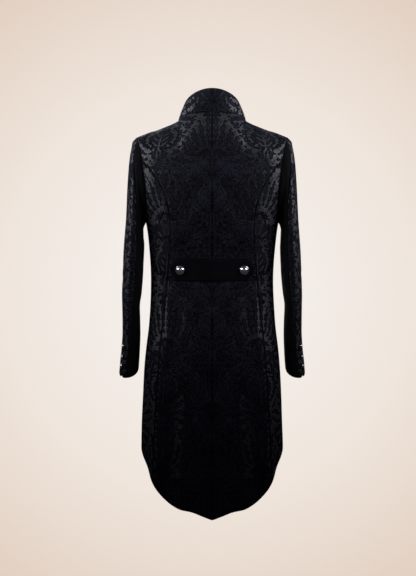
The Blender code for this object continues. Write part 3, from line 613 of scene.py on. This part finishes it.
def add_cloth(node, points, cloth, finishes, side=1, creases=(), quads=None, free=(), wall=CLOTH, lift=0.0,
              stitch=0.0, spread=1.0, drop=0.0):
    """A closed shell of cloth that stands for one of the part's nodes.

    cloth holds each point's place on the flat panel: across from the motif's axis, and up. free lists the
    points on free edges, where the outer cloth runs on inside. stitch is how far in from the edge a groove
    of stitches runs. spread widens the motif, and drop lowers it.
    """
    name = f"{node}_cloth"
    if quads is None:
        quads = quads_of(numbers_of(points))
    points, cloth = points.reshape(-1, 3), cloth.reshape(-1, 2)
    normals = point_normals(points, quads)
    border, border_quads = border_of(quads)
    from_edge = distance_to(points, points[np.unique(border)])
    inland = ease(from_edge / INLAND)[:, None]
    points = points - normals * inland * crease_depths(cloth * (side, 1), creases)[:, None]
    normals = point_normals(points, quads)
    beside = np.exp(-(from_edge / SEAM_REACH) ** 2)
    dip = normals * (SEAM_DIP * beside)[:, None]
    outer = step_back(points, border, border_quads, STITCH_BACK) + normals * lift - dip
    inner = step_back(points, border, border_quads, -STITCH_IN) + normals * (lift - wall) - LINING_DIP * dip
    for up, across, phase in RIPPLES:
        ripple = np.sin(up * cloth[:, 1] + across * side * cloth[:, 0] + phase)
        outer = outer + normals * inland * (RIPPLE_DEPTH * ripple)[:, None]
    if stitch:
        groove = STITCH_DEPTH * np.exp(-((from_edge - stitch) / STITCH_WIDTH) ** 2)
        outer = outer - normals * groove[:, None]
    count = len(points)
    rims = np.stack([border[:, 1], border[:, 0], border[:, 0] + count, border[:, 1] + count], 1)
    faces = np.concatenate([quads, quads[:, ::-1] + count, rims])[:, ::side]
    mesh = bpy.data.meshes.new(name)
    mesh.from_pydata((np.concatenate([outer, inner]) * (side, 1, 1)).tolist(), [], faces.tolist())
    inside = np.full(len(quads), 1)
    if len(free):
        inside[distance_to(points[quads[:, 0]], points[free]) < FACING] = 0
    slots = np.concatenate([np.zeros(len(quads), int), inside, np.zeros(len(rims), int)])
    mesh.polygons.foreach_set("material_index", slots)
    corners = np.zeros(len(mesh.loops), int)
    mesh.loops.foreach_get("vertex_index", corners)
    mesh.uv_layers.new(name="cloth").uv.foreach_set("vector", np.tile(cloth, (2, 1))[corners].ravel())
    place = cloth[:, 0] * np.ravel(spread), cloth[:, 1] + drop
    for key, values in (
        ("seam", beside), ("figure", read_motif(figure_depth, *place) - SEAM_SHADOW * beside),
        ("shade", read_motif(figure_shade, *place)),
    ):
        mesh.attributes.new(key, "FLOAT", "POINT").data.foreach_set("value", np.tile(values, 2))
    for finish in finishes:
        mesh.materials.append(finish)
    mesh.polygons.foreach_set("use_smooth", np.ones(len(faces), bool))
    mesh.set_sharp_from_angle(angle=SHARP_ANGLE)
    mesh.update()
    piece = bpy.data.objects.new(name, mesh)
    bpy.context.scene.collection.objects.link(piece)
    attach(piece, "root")
    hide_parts(node)
    return piece


SIDES = (("left", 1), ("right", -1))

# Creases: soft folds that hang from the half belt and pulls towards the armholes, all of them uneven. Each is
# (from across, from up, to across, to up, half width, depth) on the cloth; left is positive
BACK_CREASES = (
    (0.052, -0.332, 0.112, -0.356, 0.011, 0.0022), (-0.058, -0.340, -0.114, -0.352, 0.012, 0.0020),
    (0.024, -0.352, 0.088, -0.367, 0.008, 0.0016), (-0.016, -0.358, -0.084, -0.365, 0.008, 0.0018),
    (0.078, -0.446, 0.092, -0.600, 0.013, 0.0026), (-0.084, -0.446, -0.102, -0.590, 0.014, 0.0024),
    (0.040, -0.446, 0.050, -0.560, 0.011, -0.0014), (-0.046, -0.446, -0.052, -0.570, 0.012, -0.0016),
    (0.118, -0.455, 0.130, -0.640, 0.013, -0.0020), (-0.122, -0.455, -0.138, -0.620, 0.012, -0.0018),
    (0.172, -0.118, 0.120, -0.196, 0.017, 0.0018), (-0.170, -0.126, -0.124, -0.206, 0.018, 0.0016),
    (0.150, -0.080, 0.170, -0.150, 0.014, -0.0012), (-0.154, -0.084, -0.168, -0.158, 0.014, -0.0014),
    (0.092, -0.700, 0.104, -0.930, 0.018, 0.0024), (-0.086, -0.680, -0.094, -0.900, 0.018, 0.0022),
)
# The back vent, closed with the left back over the right one: its top, and how far and near each edge lifts
VENT_TOP, VENT_RUN, VENT_REACH = -0.735, 0.030, 0.007
VENT_LIFT = {"left": 0.0013, "right": 0.0003}

# How much wider than its cloth the motif is drawn: (height, share)
SPREAD = (
    (-1.1, 0.98), (-0.811, 0.97), (-0.640, 1.04), (-0.469, 1.05), (-0.330, 1.07), (-0.127, 0.92), (0.1, 0.90),
)

back_points, back_cloth = back_grid()
for name, side in SIDES:
    points = back_points.copy()
    closed = ease((VENT_TOP - points[..., 2]) / VENT_RUN)
    points[..., 1] += VENT_LIFT[name] * closed * np.exp(-(points[..., 0] / VENT_REACH) ** 2)
    piece = add_cloth(
        f"back_{name}", points, back_cloth, (damask, lining), side, BACK_CREASES,
        free=numbers_of(points)[-1], spread=read_curve(SPREAD, back_cloth[..., 1]))

# The two side backs
# Narrow panels of damask between the princess seam and the seam under the arm, from the armhole to the hem.

SIDE_SEAM_ANGLE = 97.0
UNDERARM = (SIDE_SEAM_ANGLE, -0.277)
# Lower half of the armhole, from the back's yoke under the arm to the front's: (angle, height)
ARMHOLE = (
    (float(body_angle(ARMHOLE_HALF_WIDTH, YOKE_HEIGHT)), YOKE_HEIGHT), (57.5, -0.150), (59.0, -0.190),
    (64.0, -0.228), (73.0, -0.258), UNDERARM, (111.0, -0.264), (117.0, -0.236), (119.5, -0.198),
    (121.0, -0.155), (float(body_angle(ARMHOLE_HALF_WIDTH, YOKE_HEIGHT, True)), YOKE_HEIGHT),
)
# Places round the armhole, in steps from the shoulder seam down the back
YOKE_FOOT, ARMHOLE_FOOT, FRONT_FOOT, ARMHOLE_END = 8, 13, 18, 26
SIDE_COLUMNS, SIDE_ROWS = 46, 300
SIDE_CREASES = (
    (0.168, -0.205, 0.128, -0.300, 0.012, 0.0020), (-0.172, -0.210, -0.130, -0.292, 0.012, 0.0018),
    (0.190, -0.300, 0.150, -0.380, 0.010, 0.0016), (-0.186, -0.310, -0.152, -0.392, 0.010, 0.0018),
    (0.190, -0.470, 0.200, -0.660, 0.014, 0.0024), (-0.186, -0.460, -0.204, -0.640, 0.014, 0.0022),
    (0.165, -0.540, 0.170, -0.820, 0.016, -0.0022), (-0.168, -0.560, -0.176, -0.800, 0.016, -0.0020),
)


def read_path(points, keys):
    """A smooth path through points, read at whole and part numbers of its points."""
    table = [(i, *point) for i, point in enumerate(points)]
    return np.stack([read_curve(table, keys, column) for column in range(1, len(table[0]))], -1)


def fill_patch(left, right, top, bottom, across, down):
    """Angles and heights between four edges."""
    s, t = across[None, :, None], down[:, None, None]
    left, right, top, bottom = left[:, None], right[:, None], top[None], bottom[None]
    between = (1 - t) * top + t * bottom
    return (1 - s) * (left - between[:, :1]) + s * (right - between[:, -1:]) + between


def side_back_grid():
    across, down = crowded(SIDE_COLUMNS), crowded(SIDE_ROWS)
    seam_angle = body_angle(PRINCESS[-1][1], PRINCESS[-1][0])
    heights = YOKE_HEIGHT + (read_curve(HEM, seam_angle) - YOKE_HEIGHT) * down
    left = np.stack([body_angle(read_curve(PRINCESS, heights), heights), heights], -1)
    heights = UNDERARM[1] + (read_curve(HEM, SIDE_SEAM_ANGLE) - UNDERARM[1]) * down
    right = np.stack([0 * heights + SIDE_SEAM_ANGLE, heights], -1)
    top = read_path(ARMHOLE, across * (ARMHOLE_FOOT - YOKE_FOOT))
    angles = seam_angle + (SIDE_SEAM_ANGLE - seam_angle) * across
    bottom = np.stack([angles, read_curve(HEM, angles)], -1)
    angle, height = np.moveaxis(fill_patch(left, right, top, bottom, across, down), -1, 0)
    return body_point(angle, height), np.stack([girth(angle, height), height], -1)


side_points, side_cloth = side_back_grid()
for name, side in SIDES:
    piece = add_cloth(
        f"side_back_{name}", side_points, side_cloth, (damask, lining), side, SIDE_CREASES,
        free=numbers_of(side_points)[-1], spread=read_curve(SPREAD, side_cloth[..., 1]))

# The two fronts
# Each front runs from the shoulder seam and the side seam to its slanting edge, and is cut away below the
# waist. The right front lies under the left one, where a button holds them.

EDGE_TOP, EDGE_WAIST = (0.047, -0.049), (-0.014, -0.430)
UNDERLAP, UNDERLAP_SIDE, UNDERLAP_SIDE_RUN = 0.0034, 0.020, 0.045
UNDERLAP_TOP, UNDERLAP_TOP_RUN = -0.180, 0.100
FRONT_NECK_TILT, FRONT_EDGE_TILT, COLLAR_END_ANGLE = 30.0, 45.0, 150.0
FRONT_COLUMNS, FRONT_ROWS, FRONT_YOKE_ROWS = 88, 190, 36
ARMHOLE_COLUMNS = 32      # of these columns, the ones that start at the armhole
# Here across is from the centre front: pulls from the button, folds below it, and drags at the armhole
FRONT_CREASES = (
    (0.020, -0.420, 0.105, -0.385, 0.008, 0.0022), (-0.024, -0.422, -0.110, -0.380, 0.008, 0.0020),
    (0.022, -0.430, 0.120, -0.425, 0.007, 0.0018), (-0.026, -0.431, -0.112, -0.432, 0.007, 0.0020),
    (0.060, -0.440, 0.085, -0.560, 0.014, 0.0024), (-0.066, -0.440, -0.090, -0.545, 0.014, 0.0022),
    (0.120, -0.460, 0.150, -0.680, 0.015, -0.0022), (-0.126, -0.455, -0.152, -0.700, 0.015, -0.0020),
    (0.176, -0.190, 0.120, -0.260, 0.014, 0.0020), (-0.180, -0.196, -0.118, -0.272, 0.014, 0.0022),
    (0.100, -0.060, 0.120, -0.170, 0.018, 0.0014), (-0.096, -0.066, -0.124, -0.176, 0.018, 0.0012),
)


def edge_x(height):
    share = (EDGE_TOP[1] - height) / (EDGE_TOP[1] - EDGE_WAIST[1])
    return EDGE_TOP[0] + share * (EDGE_WAIST[0] - EDGE_TOP[0])


def front_yoke(steps, count):
    """The front above the yoke's height, from the armhole to the edge, with the angles of its feet."""
    run = np.linspace(0, 2, count)
    on_shoulder = run <= 1
    share = 1 - (1 - NECK_SHARE) * run
    neck_angle = 90 + (COLLAR_END_ANGLE - 90) * (run - 1)
    x = share * SHOULDER_HALF_WIDTH
    tops = np.stack([x, 0 * x, read_curve(SHOULDER, x)], -1)
    tops = np.where(on_shoulder[:, None], tops, neck_point(neck_angle))
    past_neck = ease((share - NECK_SHARE) / (1 - NECK_SHARE))
    tilts = np.where(on_shoulder, FRONT_NECK_TILT + (SHOULDER_TILT - FRONT_NECK_TILT) * past_neck,
                     FRONT_NECK_TILT + (FRONT_EDGE_TILT - FRONT_NECK_TILT) * (run - 1))
    foot_x = np.where(on_shoulder, share * ARMHOLE_HALF_WIDTH,
                      NECK_SHARE * ARMHOLE_HALF_WIDTH * (2 - run) + edge_x(YOKE_HEIGHT) * (run - 1))
    feet = body_angle(foot_x, YOKE_HEIGHT, True)
    return yoke_curve(tops, feet, tilts, -1.0, steps[:, None] + 0 * run), feet


def front_grid():
    """Points, faces, places on the cloth, and the points on the free edges."""
    yoke, feet = front_yoke(crowded(FRONT_YOKE_ROWS), FRONT_COLUMNS - ARMHOLE_COLUMNS)
    across, down = np.linspace(0, 1, FRONT_COLUMNS), crowded(FRONT_ROWS)
    heights = UNDERARM[1] + (read_curve(HEM, SIDE_SEAM_ANGLE) - UNDERARM[1]) * down
    left = np.stack([0 * heights + SIDE_SEAM_ANGLE, heights], -1)
    corner = HEM[-1][1]
    corner_angle = body_angle(edge_x(corner), corner, True)
    heights = YOKE_HEIGHT + (corner - YOKE_HEIGHT) * down
    right = np.stack([body_angle(edge_x(heights), heights, True), heights], -1)
    ring = np.linspace(ARMHOLE_FOOT - YOKE_FOOT, FRONT_FOOT - YOKE_FOOT, ARMHOLE_COLUMNS + 1)[:-1]
    top = np.concatenate([read_path(ARMHOLE, ring), np.stack([feet, 0 * feet + YOKE_HEIGHT], -1)])
    angles = SIDE_SEAM_ANGLE + (corner_angle - SIDE_SEAM_ANGLE) * across
    bottom = np.stack([angles, read_curve(HEM, angles)], -1)
    right[-1] = bottom[-1]
    angle, height = np.moveaxis(fill_patch(left, right, top, bottom, across, down), -1, 0)
    lower = body_point(angle, height)
    from_front = girth(0 * height + 180.0, height) - girth(angle, height)
    lower_cloth = np.stack([from_front, height], -1)
    yoke_across = arc_across(yoke)
    yoke_across = yoke_across[:, -1:] - yoke_across + edge_x(YOKE_HEIGHT)
    yoke_cloth = np.stack([yoke_across, height_up(yoke, FRONT_YOKE_ROWS - 1)], -1)
    points = np.concatenate([lower.reshape(-1, 3), yoke[:-1].reshape(-1, 3)])
    cloth = np.concatenate([lower_cloth.reshape(-1, 2), yoke_cloth[:-1].reshape(-1, 2)])
    lower_index = numbers_of(lower)
    index = np.concatenate([lower_index.size + numbers_of(yoke[:-1]), lower_index[:1, ARMHOLE_COLUMNS:]])
    quads = np.concatenate([quads_of(lower_index), quads_of(index)])
    free = np.concatenate([lower_index[-1], lower_index[:, -1], index[:, -1]])
    return points, quads, cloth, free


front_points, front_quads, front_cloth, front_free = front_grid()
for name, side in SIDES:
    points = front_points.copy()
    if side < 0:
        near_edge = 1 - ease((points[:, 0] - UNDERLAP_SIDE) / UNDERLAP_SIDE_RUN)
        points[:, 1] += UNDERLAP * near_edge * ease((UNDERLAP_TOP - points[:, 2]) / UNDERLAP_TOP_RUN)
    piece = add_cloth(
        f"front_{name}", points, front_cloth, (damask, lining), side, FRONT_CREASES, front_quads, front_free)

# The sleeves
# Each sleeve is a top sleeve of damask and an under sleeve of plain velvet, sewn along a seam behind the arm
# and one inside its front fold. The back seam is left open at the cuff, where three buttons close it.

# Sleeve: (height, inner edge, outer edge, back, front)
SLEEVE = (
    (-0.300, 0.189, 0.239, 0.070, -0.074), (-0.340, 0.1865, 0.2415, 0.070, -0.075),
    (-0.385, 0.188, 0.244, 0.068, -0.075), (-0.430, 0.1905, 0.2465, 0.065, -0.074),
    (-0.475, 0.1945, 0.248, 0.060, -0.074), (-0.505, 0.199, 0.2475, 0.057, -0.075),
    (-0.545, 0.1985, 0.247, 0.053, -0.076), (-0.590, 0.198, 0.2475, 0.049, -0.078),
    (-0.630, 0.199, 0.250, 0.046, -0.079), (-0.660, 0.2005, 0.2535, 0.044, -0.080),
    (-0.710, 0.205, 0.2575, 0.042, -0.081),
)
SLEEVE_TOP = SLEEVE[0][0]
# Which way each place round the armhole goes round the sleeve; 0 is behind and 90 outside
SLEEVE_ANGLES = ((0, 90.0), (5, 2.0), (8, -20.0), (13, -90.0), (18, -158.0), (26, -270.0))
# How far down the yoke each of its places is
YOKE_PLACES = (
    (0, 0.0), (1, 0.08), (2, 0.16), (3, 0.24), (4, 0.32), (5, 0.40), (6, 0.60), (7, 0.80), (8, 1.0),
)
SLEEVE_CORNER = 0.9
# Places round the armhole of the back seam, the inner line and the front seam
HINDARM, INNER_LINE, FOREARM = 5, 13, 17
# How far the back seam bends towards the body on its way down: (height, degrees)
SEAM_BEND = (
    (-0.300, 18.0), (-0.405, 20.5), (-0.483, 18.0), (-0.524, 14.0), (-0.562, 12.0), (-0.600, 3.0),
    (-0.640, 0.0),
)
CUFF_HEIGHT, CUFF_BACK_DROP, CUFF_OUTER_DROP, CUFF_LEVEL = -0.691, 0.0145, 0.003, -0.660
# The head leaves the armhole this way, and comes down to the arm with this lean
HEAD_WAY, HEAD_DEPTH, HEAD_EASE, HEAD_REACH = (0.8, 0.15, -0.6), 0.06, 0.004, 0.12
HEAD_LEAN, HEAD_HOLD = np.array((-0.08, 0.0, 1.0)), 0.45
SLEEVE_TUCK = 0.0028      # how far its edge goes in under the armhole's
# Creases of the two parts of a sleeve: drags below the head, elbow folds, and folds above the cuff
TOP_SLEEVE_CREASES = (
    (0.050, -0.058, -0.050, -0.058, 0.010, -0.0024), (-0.050, -0.600, -0.050, -0.720, 0.0030, 0.0016),
    (0.050, -0.600, 0.050, -0.720, 0.0030, 0.0016), (0.052, -0.150, 0.020, -0.235, 0.011, 0.0022),
    (-0.050, -0.160, -0.022, -0.240, 0.011, 0.0020), (-0.060, -0.145, -0.045, -0.220, 0.010, 0.0018),
    (0.060, -0.140, 0.046, -0.226, 0.010, 0.0020), (0.066, -0.360, 0.010, -0.395, 0.008, 0.0024),
    (-0.062, -0.372, -0.006, -0.402, 0.008, 0.0022), (0.064, -0.410, -0.004, -0.425, 0.007, 0.0020),
    (-0.066, -0.418, 0.000, -0.438, 0.007, 0.0022), (-0.064, -0.455, -0.010, -0.440, 0.007, 0.0022),
    (0.062, -0.446, 0.016, -0.462, 0.007, 0.0018), (-0.070, -0.350, -0.036, -0.368, 0.007, 0.0024),
    (0.070, -0.344, 0.034, -0.364, 0.007, 0.0022), (0.048, -0.560, 0.012, -0.590, 0.009, 0.0014),
    (-0.046, -0.570, -0.010, -0.598, 0.009, 0.0016),
)
UNDER_SLEEVE_CREASES = (
    (-0.030, -0.385, -0.085, -0.398, 0.007, 0.0022), (0.032, -0.392, 0.086, -0.400, 0.007, 0.0020),
    (-0.016, -0.425, -0.070, -0.430, 0.007, 0.0024), (0.018, -0.420, 0.074, -0.436, 0.007, 0.0022),
    (-0.020, -0.462, -0.080, -0.455, 0.008, 0.0018), (0.016, -0.468, 0.078, -0.452, 0.008, 0.0020),
    (-0.040, -0.300, -0.100, -0.330, 0.010, 0.0020), (0.042, -0.306, 0.098, -0.336, 0.010, 0.0018),
)
VENT_NOTCH, VENT_NOTCH_ANGLE, VENT_NOTCH_SPREAD = 0.0042, 41.0, 7.0   # where the cuff's vent ends in the hem
TOP_SLEEVE_GRID = (84, 96, 150, 22)      # columns, rows of the head, of the arm and of the cuff
UNDER_SLEEVE_GRID = (48, 44, 90, 14)


def sleeve_section(angle, height):
    """Points of the sleeve below the armhole."""
    inner, outer, back, front = (read_curve(SLEEVE, height, column) for column in (1, 2, 3, 4))
    turn = np.radians(angle)
    across, along = (np.sign(f) * np.abs(f) ** SLEEVE_CORNER for f in (np.sin(turn), np.cos(turn)))
    return np.stack(np.broadcast_arrays((inner + outer) / 2 + (outer - inner) / 2 * across,
                                        (back + front) / 2 + (back - front) / 2 * along, height), -1)


def armhole_point(ring):
    """Points round the armhole, at steps from the shoulder seam down the back."""
    tip = np.array((SHOULDER_HALF_WIDTH, 0.0, SHOULDER[-1][1])) + np.zeros((len(ring), 3))
    under = body_point(*read_path(ARMHOLE, np.clip(ring - YOKE_FOOT, 0, len(ARMHOLE) - 1)).T)
    points = np.where(ring[:, None] < YOKE_FOOT, 0, under)
    for chosen, steps, in_front in (
        (ring < YOKE_FOOT, ring, False), (ring > FRONT_FOOT, ARMHOLE_END - ring, True),
    ):
        foot = body_angle(ARMHOLE_HALF_WIDTH, YOKE_HEIGHT, in_front) + 0 * ring
        t = read_curve(YOKE_PLACES, steps)
        yoke = yoke_curve(tip, foot, SHOULDER_TILT + 0 * ring, -1.0 if in_front else 1.0, t)
        points = np.where(chosen[:, None], yoke, points)
    return points


def sleeve_grid(first, last, grid):
    """A part of the left sleeve between two places round the armhole; the first may be below 0."""
    columns, head_rows, arm_rows, cuff_rows = grid
    ring = np.linspace(first, last, 400)
    angle = read_curve(SLEEVE_ANGLES, ring % ARMHOLE_END)
    arcs = arc_across(sleeve_section(angle, SLEEVE_TOP + 0 * ring)[None])[0]
    ring = np.interp(crowded(columns) * arcs[-1], arcs, ring)
    angle = read_curve(SLEEVE_ANGLES, ring % ARMHOLE_END)
    bend = np.interp(ring, (0, HINDARM, INNER_LINE), (0, -1, 0))
    starts = armhole_point(ring % ARMHOLE_END)
    ends = sleeve_section(angle + bend * SEAM_BEND[0][1], SLEEVE_TOP + 0 * ring)
    drop = (starts - ends)[:, 2:]
    outwards, sideways, down = HEAD_WAY
    sideways = sideways * np.clip(starts[:, 1] / HEAD_DEPTH, -1, 1)
    way = np.stack([0 * ring + outwards, sideways, 0 * ring + down], -1)
    start_pull = starts + (HEAD_EASE + HEAD_REACH * drop) * way
    end_pull = ends + HEAD_HOLD * drop * HEAD_LEAN
    head = curve_point(
        starts - SLEEVE_TUCK * way, start_pull, end_pull, ends, crowded(head_rows)[:, None] + 0 * ring)
    arm = np.linspace(SLEEVE_TOP, CUFF_LEVEL, arm_rows)[1:, None] + 0 * ring
    turn = np.radians(angle)
    hem = CUFF_HEIGHT - CUFF_BACK_DROP * np.cos(turn) - CUFF_OUTER_DROP * np.sin(turn)
    hem = hem + VENT_NOTCH * np.exp(-((angle - VENT_NOTCH_ANGLE) / VENT_NOTCH_SPREAD) ** 2)
    cuff = CUFF_LEVEL + (hem - CUFF_LEVEL) * crowded(cuff_rows)[1:, None]
    heights = np.concatenate([arm, cuff])
    points = np.concatenate([head, sleeve_section(angle + bend * read_curve(SEAM_BEND, heights), heights)])
    across = arc_across(points)
    outer_column = np.argmin(np.abs(ring))
    across = across[:, outer_column, None] - across
    return points, np.stack([across, height_up(points, head_rows - 1)], -1)


velvet, add = new_material("velvet")
on_cloth = add("UVMap", {"uv_map": "cloth"})
nap = add("TexNoise", Vector=on_cloth, Scale=1900.0, Detail=2.0)
brushed = add("TexNoise", Vector=on_cloth, Scale=14.0, Detail=3.0)
colour = blend(add, grade(add, brushed, 0.35, 0.65), (0.0024, 0.0024, 0.0032, 1), (0.0044, 0.0044, 0.0056, 1))
bump = add("Bump", Height=nap, Strength=0.6, Distance=0.0003)
shader = add("BsdfPrincipled", Base_Color=colour, Normal=bump, Roughness=0.85, Specular_IOR_Level=0.05,
             Sheen_Weight=0.02, Sheen_Roughness=0.4)
add("OutputMaterial", Surface=shader)

TOP_SLEEVE = (FOREARM - ARMHOLE_END, HINDARM, TOP_SLEEVE_GRID)
UNDER_SLEEVE = (HINDARM, FOREARM, UNDER_SLEEVE_GRID)
for part, panel, creases, finish, flat, area in (
    ("top", TOP_SLEEVE, TOP_SLEEVE_CREASES, damask, (0.235, 0.666), 0.111),
    ("under", UNDER_SLEEVE, UNDER_SLEEVE_CREASES, velvet, (0.160, 0.652), 0.0655),
):
    sleeve_points, sleeve_cloth = sleeve_grid(*panel)
    index = numbers_of(sleeve_points)
    for name, side in SIDES:
        piece = add_cloth(
            f"{part}_sleeve_{name}", sleeve_points, sleeve_cloth, (finish, lining), side, creases,
            quads_of(index)[:, ::-1], free=index[-1])

# The collar
# A stand-up collar of damask, stiffened inside, sewn to the neck and left open in front.

COLLAR_TOP_WIDTH, COLLAR_TOP_BACK, COLLAR_TOP_FRONT = 0.072, 0.048, 0.066
COLLAR_SIDE_HEIGHT, COLLAR_RISE, COLLAR_BACK_CURVE, COLLAR_FRONT_CURVE = 0.0526, 0.326, 7.2, -10.3
COLLAR_BULGE, COLLAR_COLUMNS, COLLAR_ROWS = 0.0015, 210, 28
COLLAR_TUCK = 0.0025      # how far it goes down inside the neck seam
COLLAR_SPREAD, COLLAR_DROP = 1.12, -0.19


def collar_grid():
    angle = crowded(COLLAR_COLUMNS, -COLLAR_END_ANGLE, COLLAR_END_ANGLE)
    turn = np.radians(angle)
    across, along = np.sin(turn), np.cos(turn)
    y = along * np.where(along > 0, COLLAR_TOP_BACK, COLLAR_TOP_FRONT)
    curve = np.where(along > 0, COLLAR_BACK_CURVE, COLLAR_FRONT_CURVE)
    tops = np.stack([COLLAR_TOP_WIDTH * across, y, COLLAR_SIDE_HEIGHT + COLLAR_RISE * y + curve * y * y], -1)
    out = np.stack([across, along, 0 * turn], -1)
    down = crowded(COLLAR_ROWS)[:, None, None]
    bases = neck_point(angle)
    bases = bases + (bases - tops) * (COLLAR_TUCK / np.linalg.norm(bases - tops, axis=1, keepdims=True))
    points = tops + (bases - tops) * down + out * COLLAR_BULGE * np.sin(np.pi * down)
    run = arc_across(points)
    run = run - run[:, -1:] / 2
    up = (1 - down[..., 0]) * np.linalg.norm(tops - bases, axis=-1)
    return points, np.stack([run, up], -1)


collar_points, collar_cloth = collar_grid()
index = numbers_of(collar_points)
collar_free = np.concatenate([index[0], index[:, 0], index[:, -1]])
piece = add_cloth(
    "collar", collar_points, collar_cloth, (damask, lining), free=collar_free, spread=COLLAR_SPREAD,
    drop=COLLAR_DROP)

# The half belt
# A stiffened strap of plain velvet with two pointed ends, held to the backs by its two buttons.

BELT_TOP, BELT_MIDDLE, BELT_FOOT = -0.379, -0.410, -0.441
BELT_STRAIGHT, BELT_POINT, BELT_WALL, BELT_GAP = 0.0979, 0.115, 0.0028, 0.0003
BELT_STITCH = 0.0045      # how far in from its edge the belt is stitched
BELT_TIP = 0.03           # share of its width that is left at the points
BELT_COLUMNS, BELT_ROWS = 150, 42

x = np.linspace(-BELT_POINT, BELT_POINT, BELT_COLUMNS)
belt_width = np.clip((BELT_POINT - np.abs(x)) / (BELT_POINT - BELT_STRAIGHT), BELT_TIP, 1)
down = crowded(BELT_ROWS, -1, 1)[:, None] * belt_width
heights = BELT_MIDDLE - down * (BELT_TOP - BELT_FOOT) / 2
belt_angle = body_angle(x + 0 * heights, heights)
belt_points = body_point(belt_angle, heights)
belt_cloth = np.stack([np.sign(x) * girth(np.abs(belt_angle), heights), heights], -1)
piece = add_cloth(
    "half_belt", belt_points, belt_cloth, (velvet, velvet), lift=BELT_GAP + BELT_WALL, wall=BELT_WALL,
    stitch=BELT_STITCH)

# The buttons
# Nine cast and polished buttons: a dome in a rolled rim, on a shank that is sewn to the cloth.

# Rings from the shank up to the dome: (distance from the axis, height), both as shares of the radius
BUTTON_RINGS = (
    (0.24, 0.00), (0.24, 0.16), (0.90, 0.16), (0.97, 0.185), (1.00, 0.24), (0.985, 0.31), (0.93, 0.345),
    (0.87, 0.335), (0.84, 0.33), (0.82, 0.365), (0.76, 0.45), (0.66, 0.55), (0.54, 0.635), (0.40, 0.705),
    (0.25, 0.755), (0.10, 0.778), (0.02, 0.780),
)
BUTTON_GAP, BUTTON_SIDES = 0.0004, 40
BELT_BUTTON_PLACE, BELT_BUTTON_RADIUS = (0.0859, -0.4120), 0.0125
CUFF_BUTTON_ANGLE, CUFF_BUTTON_HEIGHTS, CUFF_BUTTON_RADIUS = 44.0, (-0.6196, -0.6485, -0.6738), 0.0060
FRONT_BUTTON_HEIGHT = -0.425

silver, add = new_material("polished silver")
tarnish = add("TexNoise", Vector=add("TexCoord", output="Object"), Scale=160.0, Detail=3.0)
colour = blend(add, grade(add, tarnish, 0.3, 0.7), (0.55, 0.54, 0.53, 1), (0.80, 0.79, 0.78, 1))
rough = grade(add, tarnish, 0.3, 0.7, 0.26, 0.16)
add("OutputMaterial", Surface=add("BsdfPrincipled", Base_Color=colour, Roughness=rough, Metallic=1.0))


def add_button(node, radius, place, facing):
    bpy.ops.object.select_all(action="DESELECT")
    first_out, _ = BUTTON_RINGS[0]
    bpy.ops.mesh.primitive_circle_add(vertices=BUTTON_SIDES, radius=radius * first_out, fill_type="NGON")
    piece = bpy.context.object
    piece.name = piece.data.name = f"{node}_metal"
    bpy.ops.object.mode_set(mode="EDIT")
    bpy.ops.mesh.select_all(action="SELECT")
    for (out, up), (next_out, next_up) in zip(BUTTON_RINGS, BUTTON_RINGS[1:]):
        bpy.ops.mesh.extrude_region_move(TRANSFORM_OT_translate={"value": (0, 0, radius * (next_up - up))})
        bpy.ops.transform.resize(value=(next_out / out, next_out / out, 1))
    bpy.ops.mesh.select_all(action="SELECT")
    bpy.ops.mesh.normals_make_consistent(inside=False)
    bpy.ops.object.mode_set(mode="OBJECT")
    bpy.ops.object.shade_smooth()
    piece.location = Vector(place) + Vector(facing) * BUTTON_GAP
    piece.rotation_mode = "QUATERNION"
    piece.rotation_quaternion = Vector((0, 0, 1)).rotation_difference(Vector(facing))
    bpy.ops.object.transform_apply(location=True, rotation=True, scale=True)
    piece.data.materials.append(silver)
    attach(piece, "root")
    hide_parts(node)


def place_and_facing(surface, a, b, reach, side, lift):
    """A point of a surface of two parameters and the way it faces, away from the coat's middle."""
    here = surface(a, b)
    facing = np.cross(surface(a + reach[0], b) - here, surface(a, b + reach[1]) - here)
    facing /= np.linalg.norm(facing)
    if facing @ (here * (1, 1, 0)) < 0:
        facing = -facing
    return (here + facing * lift) * (side, 1, 1), facing * (side, 1, 1)


def belt_face(x, height):
    return body_point(body_angle(x, height), height)


for name, side in SIDES:
    spot, facing = place_and_facing(belt_face, *BELT_BUTTON_PLACE, (0.002, 0.002), side, BELT_GAP + BELT_WALL)
    add_button(f"belt_button_{name}", BELT_BUTTON_RADIUS, spot, facing)
    for number, height in enumerate(CUFF_BUTTON_HEIGHTS, 1):
        spot, facing = place_and_facing(sleeve_section, CUFF_BUTTON_ANGLE, height, (1.0, 0.002), side, 0.0)
        add_button(f"cuff_button_{name}_{number}", CUFF_BUTTON_RADIUS, spot, facing)
spot = body_point(180.0, FRONT_BUTTON_HEIGHT)
add_button("front_button", BELT_BUTTON_RADIUS, spot, (0, -1, 0))
